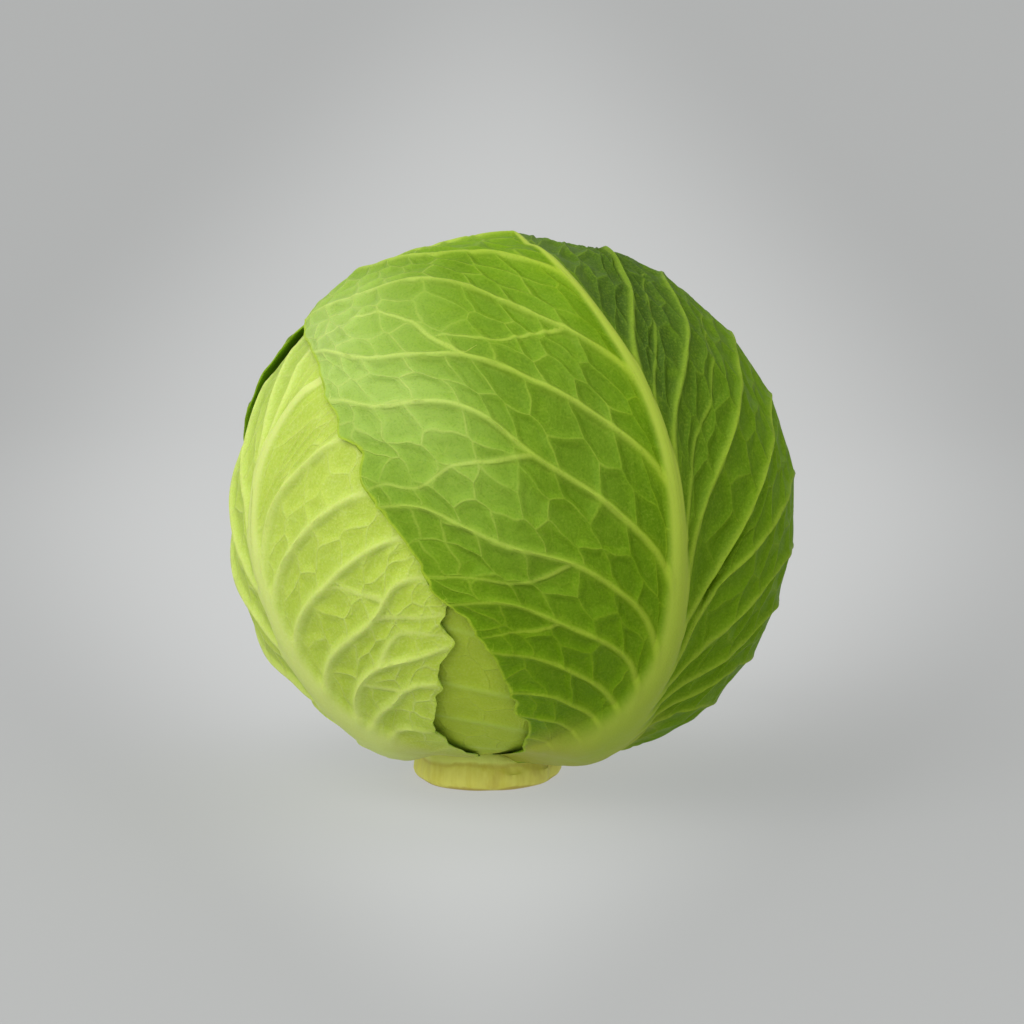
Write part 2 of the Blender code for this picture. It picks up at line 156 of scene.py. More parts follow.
leftLeaf = {
    **usualLeaf,
    "name": "left_leaf",
    "midrib": ((-27, -79), (-30, -70), (-36, -62), (-43, -53), (-47, -45.5), (-49.5, -39),
               (-51, -32.5), (-52.5, -27), (-53.5, -21), (-54.5, -15), (-56, -9), (-57.5, -3),
               (-58.3, 3.5), (-58.3, 9), (-57.8, 14), (-56.5, 18.5), (-53.5, 25), (-48.5, 31),
               (-36, 46), (-16, 62)),
    "left": {
        "margin": ((-66, -79), (-92, -60), (-108, -44), (-120, -22), (-124, 0), (-120, 22),
                   (-106, 42), (-76, 58), (-40, 68)),
        "veins": (
            ((-37, -61), (-47, -62), (-66, -61), (-84, -59), (-94, -58)),
            ((-42, -54), (-50, -53), (-66, -51), (-84, -47), (-105, -47)),
            ((-48, -44), (-54, -40), (-66, -36), (-82, -31), (-100, -24), (-119, -24)),
            ((-52, -30), (-57, -25), (-66, -21), (-78, -15), (-90, -7), (-104, 1), (-123, 2)),
            ((-54, -17), (-58, -13), (-66, -9), (-74, -3.5), (-80, 2), (-90, 11), (-102, 19),
             (-119, 23)),
            ((-55.5, -9), (-58.5, -3), (-64, 2), (-69.5, 6.5), (-74.5, 12), (-80, 20), (-89, 30),
             (-99, 37), (-110, 37)),
            ((-57.5, 2), (-59, 10), (-62, 16), (-66, 22), (-71, 30), (-77, 39), (-85, 47),
             (-94, 51)),
            ((-58, 11), (-58.5, 20), (-61, 30), (-65, 40), (-70, 50), (-76, 58)),
            0.86,
        ),
    },
    "right": {
        "margin": ((-12, -79), (-11, -68), (-13, -62), (-16.5, -55.5), (-19.3, -52.5),
                   (-20.2, -48.8), (-20.5, -44), (-19.4, -40), (-18, -37), (-18.2, -34.5),
                   (-17, -32.5), (-15.3, -31), (-14.3, -28), (-14.8, -25.5), (-13.5, -23),
                   (-12.1, -20.5), (-13.6, -17.5), (-13.2, -15), (-12.3, -12), (-9, -4),
                   (-4, 10), (2, 30), (6, 48), (4, 62)),
        "veins": (
            ((-31, -67), (-30, -60), (-26, -56), (-20, -54)),
            ((-37, -61), (-37, -52), (-34, -47), (-28, -44.5), (-20, -45)),
            ((-42, -54), (-40.5, -46), (-37.5, -43), (-34.4, -40.5), (-28, -36.2), (-24.8, -33),
             (-20.8, -30.5), (-16, -30)),
            ((-46, -48), (-42, -42), (-40.4, -38.2), (-37.8, -34.4), (-33.8, -30.4),
             (-28.4, -26.8), (-24.3, -25.3), (-19.5, -23.6), (-13, -21)),
            ((-49, -41), (-48.5, -39), (-47.4, -35.8), (-44.5, -30.5), (-41, -26), (-35.4, -21.8),
             (-30.2, -18), (-26.6, -14.8), (-23.5, -9.5), (-20.9, -7), (-16, -6), (-11, -9)),
            ((-51.5, -32.5), (-51, -28), (-49.9, -23.8), (-47.5, -19.3), (-44, -15), (-39.5, -11),
             (-35, -7), (-30.1, -3), (-26, -0.4), (-21.5, 1.6), (-14, 2.5), (-7.6, 0)),
            ((-53.5, -21), (-53, -15.3), (-51.3, -10.3), (-48.5, -5.7), (-44.6, -1.3),
             (-40.1, 3), (-35.6, 6.4), (-31.1, 9), (-27, 10.6), (-16, 12.4), (-4.5, 8.5)),
            ((-55, -12.5), (-54.6, -7.7), (-54.2, -3.1), (-53, 2.1), (-51.4, 6), (-49, 9.3),
             (-45.4, 12.8), (-42.1, 15.8), (-36.3, 20.4), (-24, 26.5), (-12, 29), (1, 27)),
            0.8,
        ),
        "forks": (
            ((-35.2, -31.7), (-31, -33), (-26, -33), (-22, -30.8)),
            ((-24.5, -11.5), (-30, -10.5), (-35.5, -9.5), (-39.5, -11)),
            ((-27, -15.2), (-22.5, -14.8), (-18, -14.6), (-12.8, -13.5)),
            ((-29, -27.2), (-25.5, -21.5), (-22.5, -18.5), (-17.5, -18), (-13, -18.5)),
        ),
    },
    "lead": 0.22,
    "columns": (96, 84),
    "rows": 290,
    "midribHeight": ((0.0, 1.6), (0.06, 2.8), (0.15, 3.1), (0.27, 2.6), (0.45, 2.0), (0.7, 1.2),
                     (1.0, 0.5)),
    "midribWidth": ((0.0, 11.0), (0.08, 10.5), (0.13, 9.0), (0.17, 7.4), (0.22, 5.6), (0.28, 4.2),
                    (0.4, 3.1), (0.55, 2.2), (0.68, 1.6), (1.0, 0.7)),
    "veinHeight": (1.3, 0.4),
    "veinWidth": (1.7, 0.6),
    "pocket": 0.9,
    "cellPocket": 0.42,
    "wander": (0.5, 1.0),
    "lifts": ((-16, -40, 1.6, 15), (-100, -40, 1.0, 25)),
    "ruffle": (0.3, 0.7),
    "seed": 13,
}
backLeaf = {
    **usualLeaf,
    "name": "back_leaf",
    "midrib": ((187, -79), (183, -56), (179, -30), (176, 0), (178, 26), (183, 48), (186, 64)),
    "left": {
        "margin": ((148, -79), (137, -57), (127, -34), (121, -6), (125, 22), (140, 44), (160, 60)),
        "veins": (0.09, 0.14, 0.2, 0.28, 0.37, 0.48, 0.6, 0.73, 0.86),
    },
    "right": {
        "margin": ((218, -79), (233, -60), (248, -42), (256, -20), (257, -4), (259, 6), (263.5, 15),
                   (268, 28), (263, 43), (232, 62)),
        "veins": (0.08, 0.12, 0.18, 0.25, 0.34, 0.45, 0.57, 0.7, 0.84),
    },
    "spread": 0.68,
    "lead": 0.24,
    "columns": (80, 110),
    "rows": 280,
    "midribHeight": ((0.0, 0.3), (0.2, 3.2), (0.6, 1.8), (1.0, 0.7)),
    "midribWidth": ((0.0, 8.0), (0.2, 4.6), (0.6, 2.4), (1.0, 0.8)),
    "pocket": 1.0,
    "cellPocket": 0.72,
    "wander": (0.8, 0.9),
    "lifts": ((-95, 27, 1.8, 15), (-102, -30, 0.8, 25), (130, -30, 0.8, 25)),
    "ruffle": (0.8, 0.6),
    "swell": 0.35,
    "seed": 14,
}
frontRightLeaf = {
    **usualLeaf,
    "name": "front_right_leaf",
    "midrib": ((14, -79), (19, -68), (23.5, -58.5), (27, -50), (29.5, -42), (31.6, -34.5),
               (32.8, -27), (33.1, -20.5), (32.7, -15), (32.2, -9), (31.8, -3), (31.5, 3.3),
               (31.3, 9), (31, 14.5), (30.6, 19.3), (29.9, 24.5), (29, 30), (28, 35), (26.6, 40),
               (25, 45.5), (22.8, 51), (20, 55.8), (17.5, 60.5), (15, 67), (12, 76), (190, 84),
               (194, 64), (196, 52)),
    "left": {
        "margin": ((6, -79), (4.5, -66), (4.4, -56.5), (4.2, -48.6), (3.6, -41.5), (1.3, -38.4),
                   (1.8, -35), (0, -31.9), (-1.5, -27.6), (-2.4, -24.6), (-4.3, -20.9),
                   (-6.2, -17.4), (-9.1, -14.6), (-12.1, -10.6), (-14.5, -8.3), (-16.8, -4.5),
                   (-17.9, -2.2), (-19.8, 0.5), (-21.5, 3.7), (-23.6, 6.5), (-25.8, 7.8),
                   (-27.1, 9.2), (-29, 12), (-28.9, 14.5), (-29.9, 17.5), (-33, 19.3),
                   (-35.9, 20.5), (-36.6, 22.4), (-38.4, 24.7), (-40.8, 26.4), (-43.9, 28.7),
                   (-46.1, 30.7), (-48.7, 33.2), (-53.5, 35.7), (-58, 37.5), (-70, 40.5),
                   (-80, 42.5), (-98, 48), (-128, 54), (-158, 56)),
        "veins": (
            ((17, -72), (12, -64), (8, -60), (2, -58)),
            ((21, -64), (17, -55), (13, -50.5), (8.5, -48), (3.9, -48)),
            ((24.5, -56), (22, -49), (15, -43.6), (8, -39.8), (2, -38.8)),
            ((27, -49.5), (24.4, -43.9), (19, -39), (14.3, -36.3), (9, -33.2), (5, -32), (0, -32)),
            ((29, -43), (27, -39.4), (22.6, -34.3), (19.5, -31.3), (15.6, -28.7), (11.1, -26),
             (7.1, -23.9), (2.8, -22.4), (-4, -21.2)),
            ((30.5, -38), (29.5, -34.5), (27.2, -29.3), (24.8, -25), (21, -21.7), (16, -18.5),
             (10.8, -16), (6.6, -13.8), (1, -11.2), (-3.5, -10), (-7.7, -10.4), (-12, -11.2)),
            ((32.6, -30), (30.8, -24.9), (29.2, -20.4), (27.3, -16.6), (24.8, -13), (20.6, -9.3),
             (16.3, -5.9), (11, -2.8), (5.3, -0.9), (0.9, 0.3), (-2.9, 1.8), (-6.6, 3.5),
             (-11.2, 5.6), (-14.5, 7.3), (-18.5, 8), (-25, 7.3)),
            ((32.6, -15), (31.3, -10.1), (29.8, -5.8), (27.6, -1.6), (25.1, 1.4), (22.1, 4.3),
             (19.2, 7), (14.7, 11), (8.8, 14.5), (3.7, 17.7), (-0.8, 21.6), (-5.5, 25.2),
             (-12.5, 27.7), (-20, 27.6), (-25.5, 26.5), (-30.3, 26), (-34.5, 27), (-41.5, 27)),
            ((31.4, 3.5), (31, 8), (29.8, 12.3), (27.2, 16.4), (23.9, 19.9), (20, 23.2),
             (15.8, 26.3), (11, 29), (4.9, 32), (-1.8, 35), (-7.2, 36.8), (-11.3, 37.6),
             (-19.1, 37.7), (-27.1, 37), (-35.5, 36), (-44.7, 36.8), (-58, 37.4)),
            ((29.4, 27), (28.3, 31), (26.3, 34.8), (21.9, 38.8), (17.4, 41.6), (13.4, 43.6),
             (7.5, 46.6), (0.5, 49.6), (-7, 52.6), (-16.1, 55.4), (-28.7, 57), (-40, 56),
             (-55, 53.6), (-69.4, 49.4), (-84, 43.6)),
            ((21.5, 53.5), (17.5, 58.3), (10, 62.3), (-0.9, 65.3), (-15.9, 67.4), (-31.3, 68.4),
             (-48.8, 68), (-64, 66.2), (-82, 62.6), (-97, 58), (-112, 51)),
            0.8, 0.9,
        ),
        "forks": (
            ((-11.3, 37.6), (-16, 40), (-21, 42.2), (-26.4, 45.1), (-31.7, 46.6), (-40, 47.4),
             (-50, 45.5), (-60, 40)),
            ((3.7, 17.7), (-0.4, 17.2), (-4, 16.6), (-8.1, 16.3), (-11.4, 15.6), (-14, 13.6),
             (-17, 11.4), (-20.1, 11.2), (-23.6, 11.8), (-27.5, 10.5)),
            ((9, -15.2), (5, -17), (0, -17), (-5.5, -18)),
            ((11, -2.8), (5, -6), (0, -6.6), (-6, -5.4), (-11.5, -5.2), (-16.3, -5.5)),
            ((13.4, 43.6), (3, 42.5), (-5, 41.5), (-12, 42.5), (-21, 42.2)),
        ),
    },
    "right": {
        "margin": ((24, -79), (28, -70), (34, -62), (42, -58.5), (50, -57.5), (57, -55),
                   (63, -51), (68, -46.5), (72, -41.5), (75, -35.5), (77, -29), (79, -22.5),
                   (82, -15.5), (86, -8), (91, 0), (98, 9), (110, 20), (128, 32), (150, 42),
                   (174, 49)),
        "veins": (
            ((19.5, -67), (28, -64.5), (36, -61)),
            ((22, -62), (30, -60), (40, -56.5), (48, -57), (54, -56.2)),
            ((24.2, -57), (31, -54.5), (37, -50.8), (42.2, -46.4), (48.9, -43), (56, -41.5),
             (64, -42), (72, -41.5)),
            ((26.6, -51), (33, -48), (38, -44.3), (42.4, -40.5), (49.3, -36.9), (55, -33.5),
             (61, -31), (68, -30.5), (77, -30)),
            ((28.6, -45), (34, -42), (38, -38.2), (41.2, -34.7), (47.5, -30.8), (53.1, -27),
             (58.6, -22.4), (64, -19.5), (71, -18.5), (81, -19)),
            ((30.4, -39), (34.6, -36), (37.8, -32), (40.2, -28.4), (44, -24), (50.5, -17.7),
             (57.8, -12), (65, -8), (74, -6.5), (86, -8)),
            ((32, -32), (35.2, -29), (37, -25), (37.7, -20.2), (39.7, -14.9), (44.9, -8.3),
             (51.7, -3.2), (58, 0.6), (64.1, 4), (73, 7), (81, 8.5), (94, 4)),
            ((33, -23), (34.7, -19.5), (36.4, -15), (39, -11), (42, -6.6), (46.6, -0.2),
             (50.5, 4.8), (55.5, 10), (60.4, 14.5), (67, 19.5), (75, 23.5), (86, 25), (104, 15)),
            ((32.8, -16.5), (34, -10.5), (34.6, -4.9), (35.9, 1.3), (39.1, 7.6), (43.9, 13.6),
             (48.5, 19), (53.5, 24.2), (59.5, 29.3), (68, 34.5), (78, 39), (94, 40), (116, 24.5)),
            ((31.6, 3), (32, 9), (32.2, 14), (33.7, 21.8), (37.3, 28), (42.8, 34.2), (48, 39.5),
             (53.9, 44.7), (60.5, 49.8), (66.5, 54.3), (76, 58), (98, 58), (138, 37)),
            ((28.9, 29.5), (29.3, 35), (30.9, 40.5), (34.6, 46.3), (41.2, 53), (49.9, 60.2),
             (60, 66), (80, 71), (120, 67), (154, 44)),
            0.84, 0.92,
        ),
        "forks": (
            ((30.8, 21.5), (31.3, 28.7), (34, 34), (38.5, 40), (42.7, 46), (47.6, 51.9),
             (55.9, 57.1), (66, 60.5)),
            ((33.2, 0.5), (34.6, 7.1), (36.1, 12.1), (38.5, 17.6), (41.3, 21.9), (45.4, 24.8),
             (48.4, 28.7), (50.6, 31.8), (54.5, 35.8), (64, 43), (76, 48)),
        ),
    },
    "spread": 0.68,
    "lead": 0.2,
    "columns": (126, 98),
    "rows": 355,
    "midribHeight": ((0.0, 2.5), (0.04, 5.0), (0.08, 5.6), (0.13, 4.4), (0.2, 3.0), (0.45, 2.1),
                     (0.62, 1.3), (0.75, 0.8), (1.0, 0.4)),
    "midribWidth": ((0.0, 13.0), (0.05, 12.5), (0.09, 11.0), (0.14, 8.4), (0.18, 5.6), (0.23, 3.9),
                    (0.29, 3.1), (0.4, 1.95), (0.5, 1.55), (0.6, 1.4), (0.7, 1.0), (0.8, 0.6),
                    (1.0, 0.5)),
    "veinHeight": (0.95, 0.25),
    "veinWidth": (1.3, 0.4),
    "pocket": 0.85,
    "cell": (13.5, 11.5),
    "cellPocket": 0.8,
    "shrink": 0.2,
    "puff": 1.25,
    "wander": (0.8, 0.8),
    "lifts": ((62, -50, 1.4, 14), (1, -40, 0.9, 16)),
    "ruffle": (0.55, 0.8),
    "seed": 15,
}
leaves = (innerFrontLeaf, innerBackLeaf, leftLeaf, backLeaf, frontRightLeaf)
sides = ("left", "right")
guideSamples = np.linspace(0.0, 1.0, 25)

# How every sheet is drawn and shaped. Sizes in mm; pairs are from and to.
sheetForm = {
    "lineSteps": 121,               # points of an eased line,
    "midribSteps": 160,             # of the midrib that gaps are measured from,
    "marginSteps": 500,             # of a margin that veins are ended on,
    "outlineSteps": 120,            # and of each side of a leaf's outline
    "trialSheet": (240, 9),         # rows and columns of the first, uneven sheet
    "batch": 8000,                  # places that are measured at a time
    "midribPasses": 14,             # how often kinks are rubbed out
    "veinPasses": 10,
    "forkPasses": 6,
    "leanRows": (0.0, 0.2),         # where plain veins come to lean
    "leanPower": 0.7,               # a plain vein leans at once, then straightens
    "edgeWaves": (7.0, 2.4),        # how long the edge's wandering and its small waves are,
    "smallWave": 0.5,               # and how large the small ones are beside it
    "swells": 9,                    # waves in an unevenness,
    "swellGain": 1.7,               # and what brings it to about -1 to 1
    "crinkleUntil": (0.2, 0.55),    # shares of the midrib's length
    "edgePower": 6,                 # how close to the edge the sheet follows it
    "forkStrength": 0.62,
    "forkReach": 0.12,              # radians
    "forkEnd": 0.85,                # the share of its length from which a fork fades
    "guideReach": 1.3,              # a vein is looked for so many guides around it
    "bends": ((8, 9, 14.0, 6.0), (10, 12, 13.0, 5.5)),      # of the net: two seeds, two sizes
    "bendAmounts": (1.3, 0.55),     # how far it bends at these sizes
    "edgeColumns": 18,              # columns whose way to the edge is measured
    "firstCell": 2.5,               # from the midrib to the first cell
    "cellStagger": 0.3,             # every other cell lies this much of a cell further out
    "cellJitter": (0.24, 0.2),      # how far a cell strays outwards and aside
    "netShift": (31.0, 97.0),       # moves the finer nets apart from panel to panel
    "ribReach": 1.3,                # in half widths of the midrib
    "ribRound": 0.85,
    "baseUntil": 0.12,              # a share of the midrib's length
    "veinReach": 2.3,               # in half widths of the vein
    "veinFromRib": (0.5, 1.3),      # in half widths of the midrib
    "hollowFromRib": (0.6, 9.0),    # hollows deepen this far off the midrib,
    "hollowFromEdge": (0.0, 7.0),   # and this far off the margin
    "hollowRound": 0.8,
    "hollowGap": 16.0,              # veins closer than this have shallower hollows
    "cellRound": (0.0, 2.8),
    "cellGap": 13.0,                # and so have their cells, by this power
    "cellGapPower": 1.4,
    "cellFromEdge": (2.0, 22.0),
    "cellAtEdge": 0.3,              # the share of its depth that a cell has at the margin
    "ruffleSize": 7.5,
    "ruffleShare": (0.5, 0.6),      # the middle and the swing of the ruffles
    "ruffleFrom": 7.0,
    "liftFrom": 20.0,
    "liftRows": (0.0, 0.05),
    "swellSize": 26.0,
    "edgeThin": 0.55,               # the share of the thickness that the edge has,
    "edgeThinUntil": (0.0, 4.0),
    "innerSink": 0.9,               # the inner face sinks into the leaf below
    "innerSinkFrom": (1.0, 9.0),
    "innerCoarse": 5,               # and has a row and a column for so many of the outer one's
    "sharpAngle": 60.0,
    "farWidths": 20.0,              # where no vein is near,
    "farRib": 9.0,                  # no midrib,
    "farEdge": 70.0,                # no margin,
    "farNet": 9.0,                  # and no net
}


def smoothStep(start, end, value):
    share = np.clip((value - start) / (end - start), 0.0, 1.0)
    return share * share * (3.0 - 2.0 * share)


def unit(vectors):
    return vectors / np.linalg.norm(vectors, axis=-1, keepdims=True)


def directionsOf(points):           # (longitude, latitude) in degrees to unit vectors
    lon, lat = np.radians(np.array(points, dtype=float)).T
    return np.stack([np.sin(lon) * np.cos(lat), -np.cos(lon) * np.cos(lat), np.sin(lat)], axis=-1)


def smoothThrough(knots, places, wanted):   # smooth curve through the knots, at the wanted places
    slopes = np.gradient(knots, places, axis=0)
    wanted = np.clip(wanted, places[0], places[-1])
    first = np.clip(np.searchsorted(places, wanted, side="right") - 1, 0, len(places) - 2)
    shape = (-1,) + (1,) * (knots.ndim - 1)
    span = (places[first + 1] - places[first]).reshape(shape)
    u = (wanted - places[first]).reshape(shape) / span
    return ((1 + 2 * u) * (1 - u) ** 2 * knots[first] + u * (1 - u) ** 2 * span * slopes[first]
            + u ** 2 * (3 - 2 * u) * knots[first + 1]
            - u ** 2 * (1 - u) * span * slopes[first + 1])


def curve(points, fractions):       # directions at fractions of the curve's length
    knots = directionsOf(points)
    steps = np.linalg.norm(np.diff(knots, axis=0), axis=1)
    places = np.concatenate([[0.0], np.cumsum(steps)]) / steps.sum()
    return unit(smoothThrough(knots, places, np.asarray(fractions, dtype=float)))


def easedCurve(points, fractions, passes):  # the same with its small kinks rubbed out
    knots = np.linspace(0.0, 1.0, sheetForm["lineSteps"])
    line = curve(points, knots)
    for turn in range(passes):
        line[1:-1] = 0.25 * line[:-2] + 0.5 * line[1:-1] + 0.25 * line[2:]
    return unit(smoothThrough(line, knots, np.asarray(fractions, dtype=float)))


def midribOf(leaf, fractions):
    return easedCurve(leaf["midrib"], fractions, sheetForm["midribPasses"])


def wander(places, step, seed):     # a smooth random line, from about -1 to 1
    values = np.random.default_rng(seed).uniform(-1.0, 1.0, int(places.max() / step) + 3)
    return smoothThrough(values, np.arange(len(values)) * step, places)


def unevenness(directions, size, seed):     # soft random swells about size mm apart
    count = sheetForm["swells"]
    waves = unit(np.random.default_rng(seed).normal(size=(count, 3)))
    phases = np.random.default_rng(seed + 1).uniform(0.0, 6.28, count)
    turns = directions @ waves.T * sphereRadius * 2.0 * np.pi / size + phases
    return np.sin(turns).mean(axis=-1) * sheetForm["swellGain"]


def outlineOf(leaf):
    fractions = np.linspace(0.0, 1.0, sheetForm["outlineSteps"])
    tip = midribOf(leaf, [1.0])
    base = midribOf(leaf, [0.0])
    left = curve(leaf["left"]["margin"], fractions)
    right = curve(leaf["right"]["margin"], fractions)[::-1]
    return np.concatenate([left, tip, right, base])


def flattened(directions, middle):
    across = unit(np.cross(middle, (0.3, 0.5, 0.8)))
    upward = np.cross(middle, across)
    depth = 1.0 + directions @ middle
    return np.stack([directions @ across, directions @ upward], axis=-1) / depth[..., None]


def distanceInside(leaf, directions):       # mm inside the leaf's outline, negative outside
    outline = outlineOf(leaf)
    middle = unit(outline.mean(axis=0))
    corners = flattened(outline, middle)
    places = flattened(directions, middle)
    crossings = np.zeros(len(places), dtype=int)
    for corner, after in zip(corners, np.roll(corners, -1, axis=0)):
        straddles = (corner[1] > places[:, 1]) != (after[1] > places[:, 1])
        rise = after[1] - corner[1] if after[1] != corner[1] else 1.0
        crossings += straddles & (places[:, 0] < corner[0] + (places[:, 1] - corner[1]) / rise
                                  * (after[0] - corner[0]))
    nearest = np.sqrt(np.maximum(2.0 - 2.0 * (directions @ outline.T).max(axis=1), 0.0))
    return np.where(crossings % 2 == 1, 1.0, -1.0) * nearest * sphereRadius


def degreesFrom(point, directions):
    return np.degrees(np.arccos(np.clip(directions @ directionsOf([point])[0], -1, 1)))


def placeOnHead(directions, heights):       # points in mm at heights above the heart
    radii = np.full(directions.shape, head["sideRadius"])
    radii[:, 2] = np.where(directions[:, 2] > 0.0, head["topRadius"], head["baseRadius"])
    for lon, lat, amount, spread in head["swellings"]:
        away = degreesFrom((lon, lat), directions)
        heights = heights + amount * np.exp(-(away / spread) ** 2)
    points = headCentre + directions * (radii + heights[:, None])
    points[:, 0] -= headCentre[0] * np.exp(-(points[:, 2] / head["drawInHeight"]) ** 2)
    fromAxis = np.hypot(points[:, 0], points[:, 1])
    turned = np.degrees(np.arctan2(points[:, 0], -points[:, 1]))
    seat = head["seatHeight"] + head["seatRise"] * (fromAxis - stemShape["neckRadius"])
    for middle, spread, amount, near, far in head["seatLower"]:
        lower = amount * np.exp(-((turned - middle) / spread) ** 2)
        seat -= lower * smoothStep(near, far, fromAxis)
    seated = (1.0 - smoothStep(*head["seatRadius"], fromAxis)) * (points[:, 2] < headCentre[2])
    soft = head["seatSoftness"]
    raised = seat + soft * np.log1p(np.exp(np.minimum(points[:, 2] - seat, 50.0) / soft))
    points[:, 2] += seated * (raised - points[:, 2])
    return points


def ridingHeight(index, directions):        # a leaf lies over the leaves before it
    height = np.full(len(directions), head["leafGap"])
    for lower in leaves[:index]:
        raised = smoothStep(-head["riseStart"], -head["riseEnd"], distanceInside(lower, directions))
        height += raised * (head["leafThickness"] + head["leafGap"])
    return height


def freedom(index, directions):             # 1 where free, 0 where a later leaf presses it flat
    free = np.ones(len(directions))
    for upper in leaves[index + 1:]:
        free *= 1.0 - smoothStep(-head["pressStart"], -head["pressEnd"],
                                 distanceInside(upper, directions))
    return free


def shareAlong(line, point):        # where along a line its nearest place to the point is
    return np.argmax(line @ directionsOf([point])[0]) / (len(line) - 1.0)


def plainVein(leaf, side, start):   # a vein between the midrib and the margin, leading upwards
    lead = leaf["lead"] * smoothStep(*sheetForm["leanRows"], start) * (1.0 - start)
    midrib = midribOf(leaf, start + lead * guideSamples ** sheetForm["leanPower"])
    margin = curve(leaf[side]["margin"], [start ** leaf["spread"]])
    share = guideSamples[:, None]
    return unit((1.0 - share) * midrib + share * margin)


def guidesOf(leaf, side):           # the base, every vein and the tip, as lines of directions
    lines = [plainVein(leaf, side, 0.0)]
    starts, ends = [0.0], [0.0]
    fractions = np.linspace(0.0, 1.0, sheetForm["marginSteps"])
    midrib = midribOf(leaf, fractions)
    margin = curve(leaf[side]["margin"], fractions)
    for vein in leaf[side]["veins"]:
        if isinstance(vein, float):
            lines.append(plainVein(leaf, side, vein))
            starts.append(vein)
            ends.append(vein ** leaf["spread"])
        else:
            start = shareAlong(midrib, vein[0])
            lines.append(easedCurve(vein, guideSamples, sheetForm["veinPasses"]))
            lines[-1][0] = midribOf(leaf, [start])[0]
            starts.append(start)
            ends.append(shareAlong(margin, vein[-1]))
    lines.append(plainVein(leaf, side, 1.0))
    return np.array(lines), np.array(starts + [1.0]), np.array(ends + [1.0])


def halfSheet(leaf, side, rows, columns):   # directions as columns by rows, and the rows' guide
    lines, starts, ends = guidesOf(leaf, side)
    order = np.arange(len(lines), dtype=float)
    guide = np.interp(rows, starts, order)
    atRows = smoothThrough(lines, order, guide)
    share = np.linspace(0.0, 1.0, columns)
    sheet = unit(smoothThrough(np.swapaxes(atRows, 0, 1), guideSamples, share))
    edge = np.interp(guide, order, ends)
    number = sides.index(side)
    length = np.linalg.norm(np.diff(curve(leaf[side]["margin"], edge), axis=0), axis=1)
    travel = np.concatenate([[0.0], np.cumsum(length)]) * sphereRadius
    long, short = sheetForm["edgeWaves"]
    inward = wander(travel, long, leaf["seed"] + number) + sheetForm["smallWave"] * wander(
        travel, short, leaf["seed"] + 5 + number)
    margin = curve(leaf[side]["margin"], edge)
    low = 1.0 + leaf["crinkle"] * (1.0 - smoothStep(*sheetForm["crinkleUntil"], rows))
    margin = margin + unit(sheet[-1] - sheet[-4]) * (
        inward * low * leaf["wander"][number] / sphereRadius)[:, None]
    midrib = midribOf(leaf, rows)
    power = sheetForm["edgePower"]
    sheet = sheet + (share ** power)[:, None, None] * (unit(margin) - sheet[-1])
    sheet = sheet + ((1.0 - share) ** power)[:, None, None] * (midrib - sheet[0])
    return unit(sheet), guide


def evenRows(leaf):                 # rows about equally far apart, averaged over the leaf
    rows, columns = sheetForm["trialSheet"]
    trial = np.linspace(0.0, 1.0, rows)
    steps = np.zeros(rows - 1)
    for side in sides:
        sheet = halfSheet(leaf, side, trial, columns)[0]
        steps += np.linalg.norm(np.diff(sheet, axis=1), axis=2).mean(axis=0)
    travel = np.concatenate([[0.0], np.cumsum(steps)])
    return np.interp(np.linspace(0.0, travel[-1], leaf["rows"]), travel, trial)


def distanceTo(line, directions):   # signed mm from a line of directions, and the share along it
    signed = np.full(len(directions), 99.0)
    along = np.zeros(len(directions))
    step = np.diff(line, axis=0)
    square = (step ** 2).sum(axis=-1)
    for first in range(0, len(directions), sheetForm["batch"]):
        chosen = slice(first, first + sheetForm["batch"])
        part = directions[chosen]
        offset = part[:, None] - line[None, :-1]
        share = np.clip((offset * step).sum(axis=-1) / square, 0.0, 1.0)
        away = np.linalg.norm(offset - share[..., None] * step, axis=-1)
        nearest = away.argmin(axis=1)
        pick = np.arange(len(part))
        side = (np.cross(step[nearest], offset[pick, nearest]) * part).sum(axis=-1)
        places = (nearest + share[pick, nearest]) / len(step)
        beyond = (places <= 0.0) | (places >= 1.0)
        sign = np.where(beyond | (side > 0.0), 1.0, -1.0)
        signed[chosen] = sign * away[pick, nearest]
        along[chosen] = places
    return np.where(signed < 99.0, signed * sphereRadius, signed), along


def alongMidrib(values, rows):
    places, sizes = np.array(values).T
    return np.interp(rows, places, sizes)


def moveTo(verts, points):
    for vert, point in zip(verts, points):
        vert.co = point


def setAttribute(mesh, name, domain, values):
    kind = "FLOAT_VECTOR" if values.ndim == 2 else "FLOAT"
    layer = mesh.attributes.new(name, kind, domain)
    layer.data.foreach_set("vector" if values.ndim == 2 else "value",
                           np.ascontiguousarray(values, dtype=np.float32).ravel())


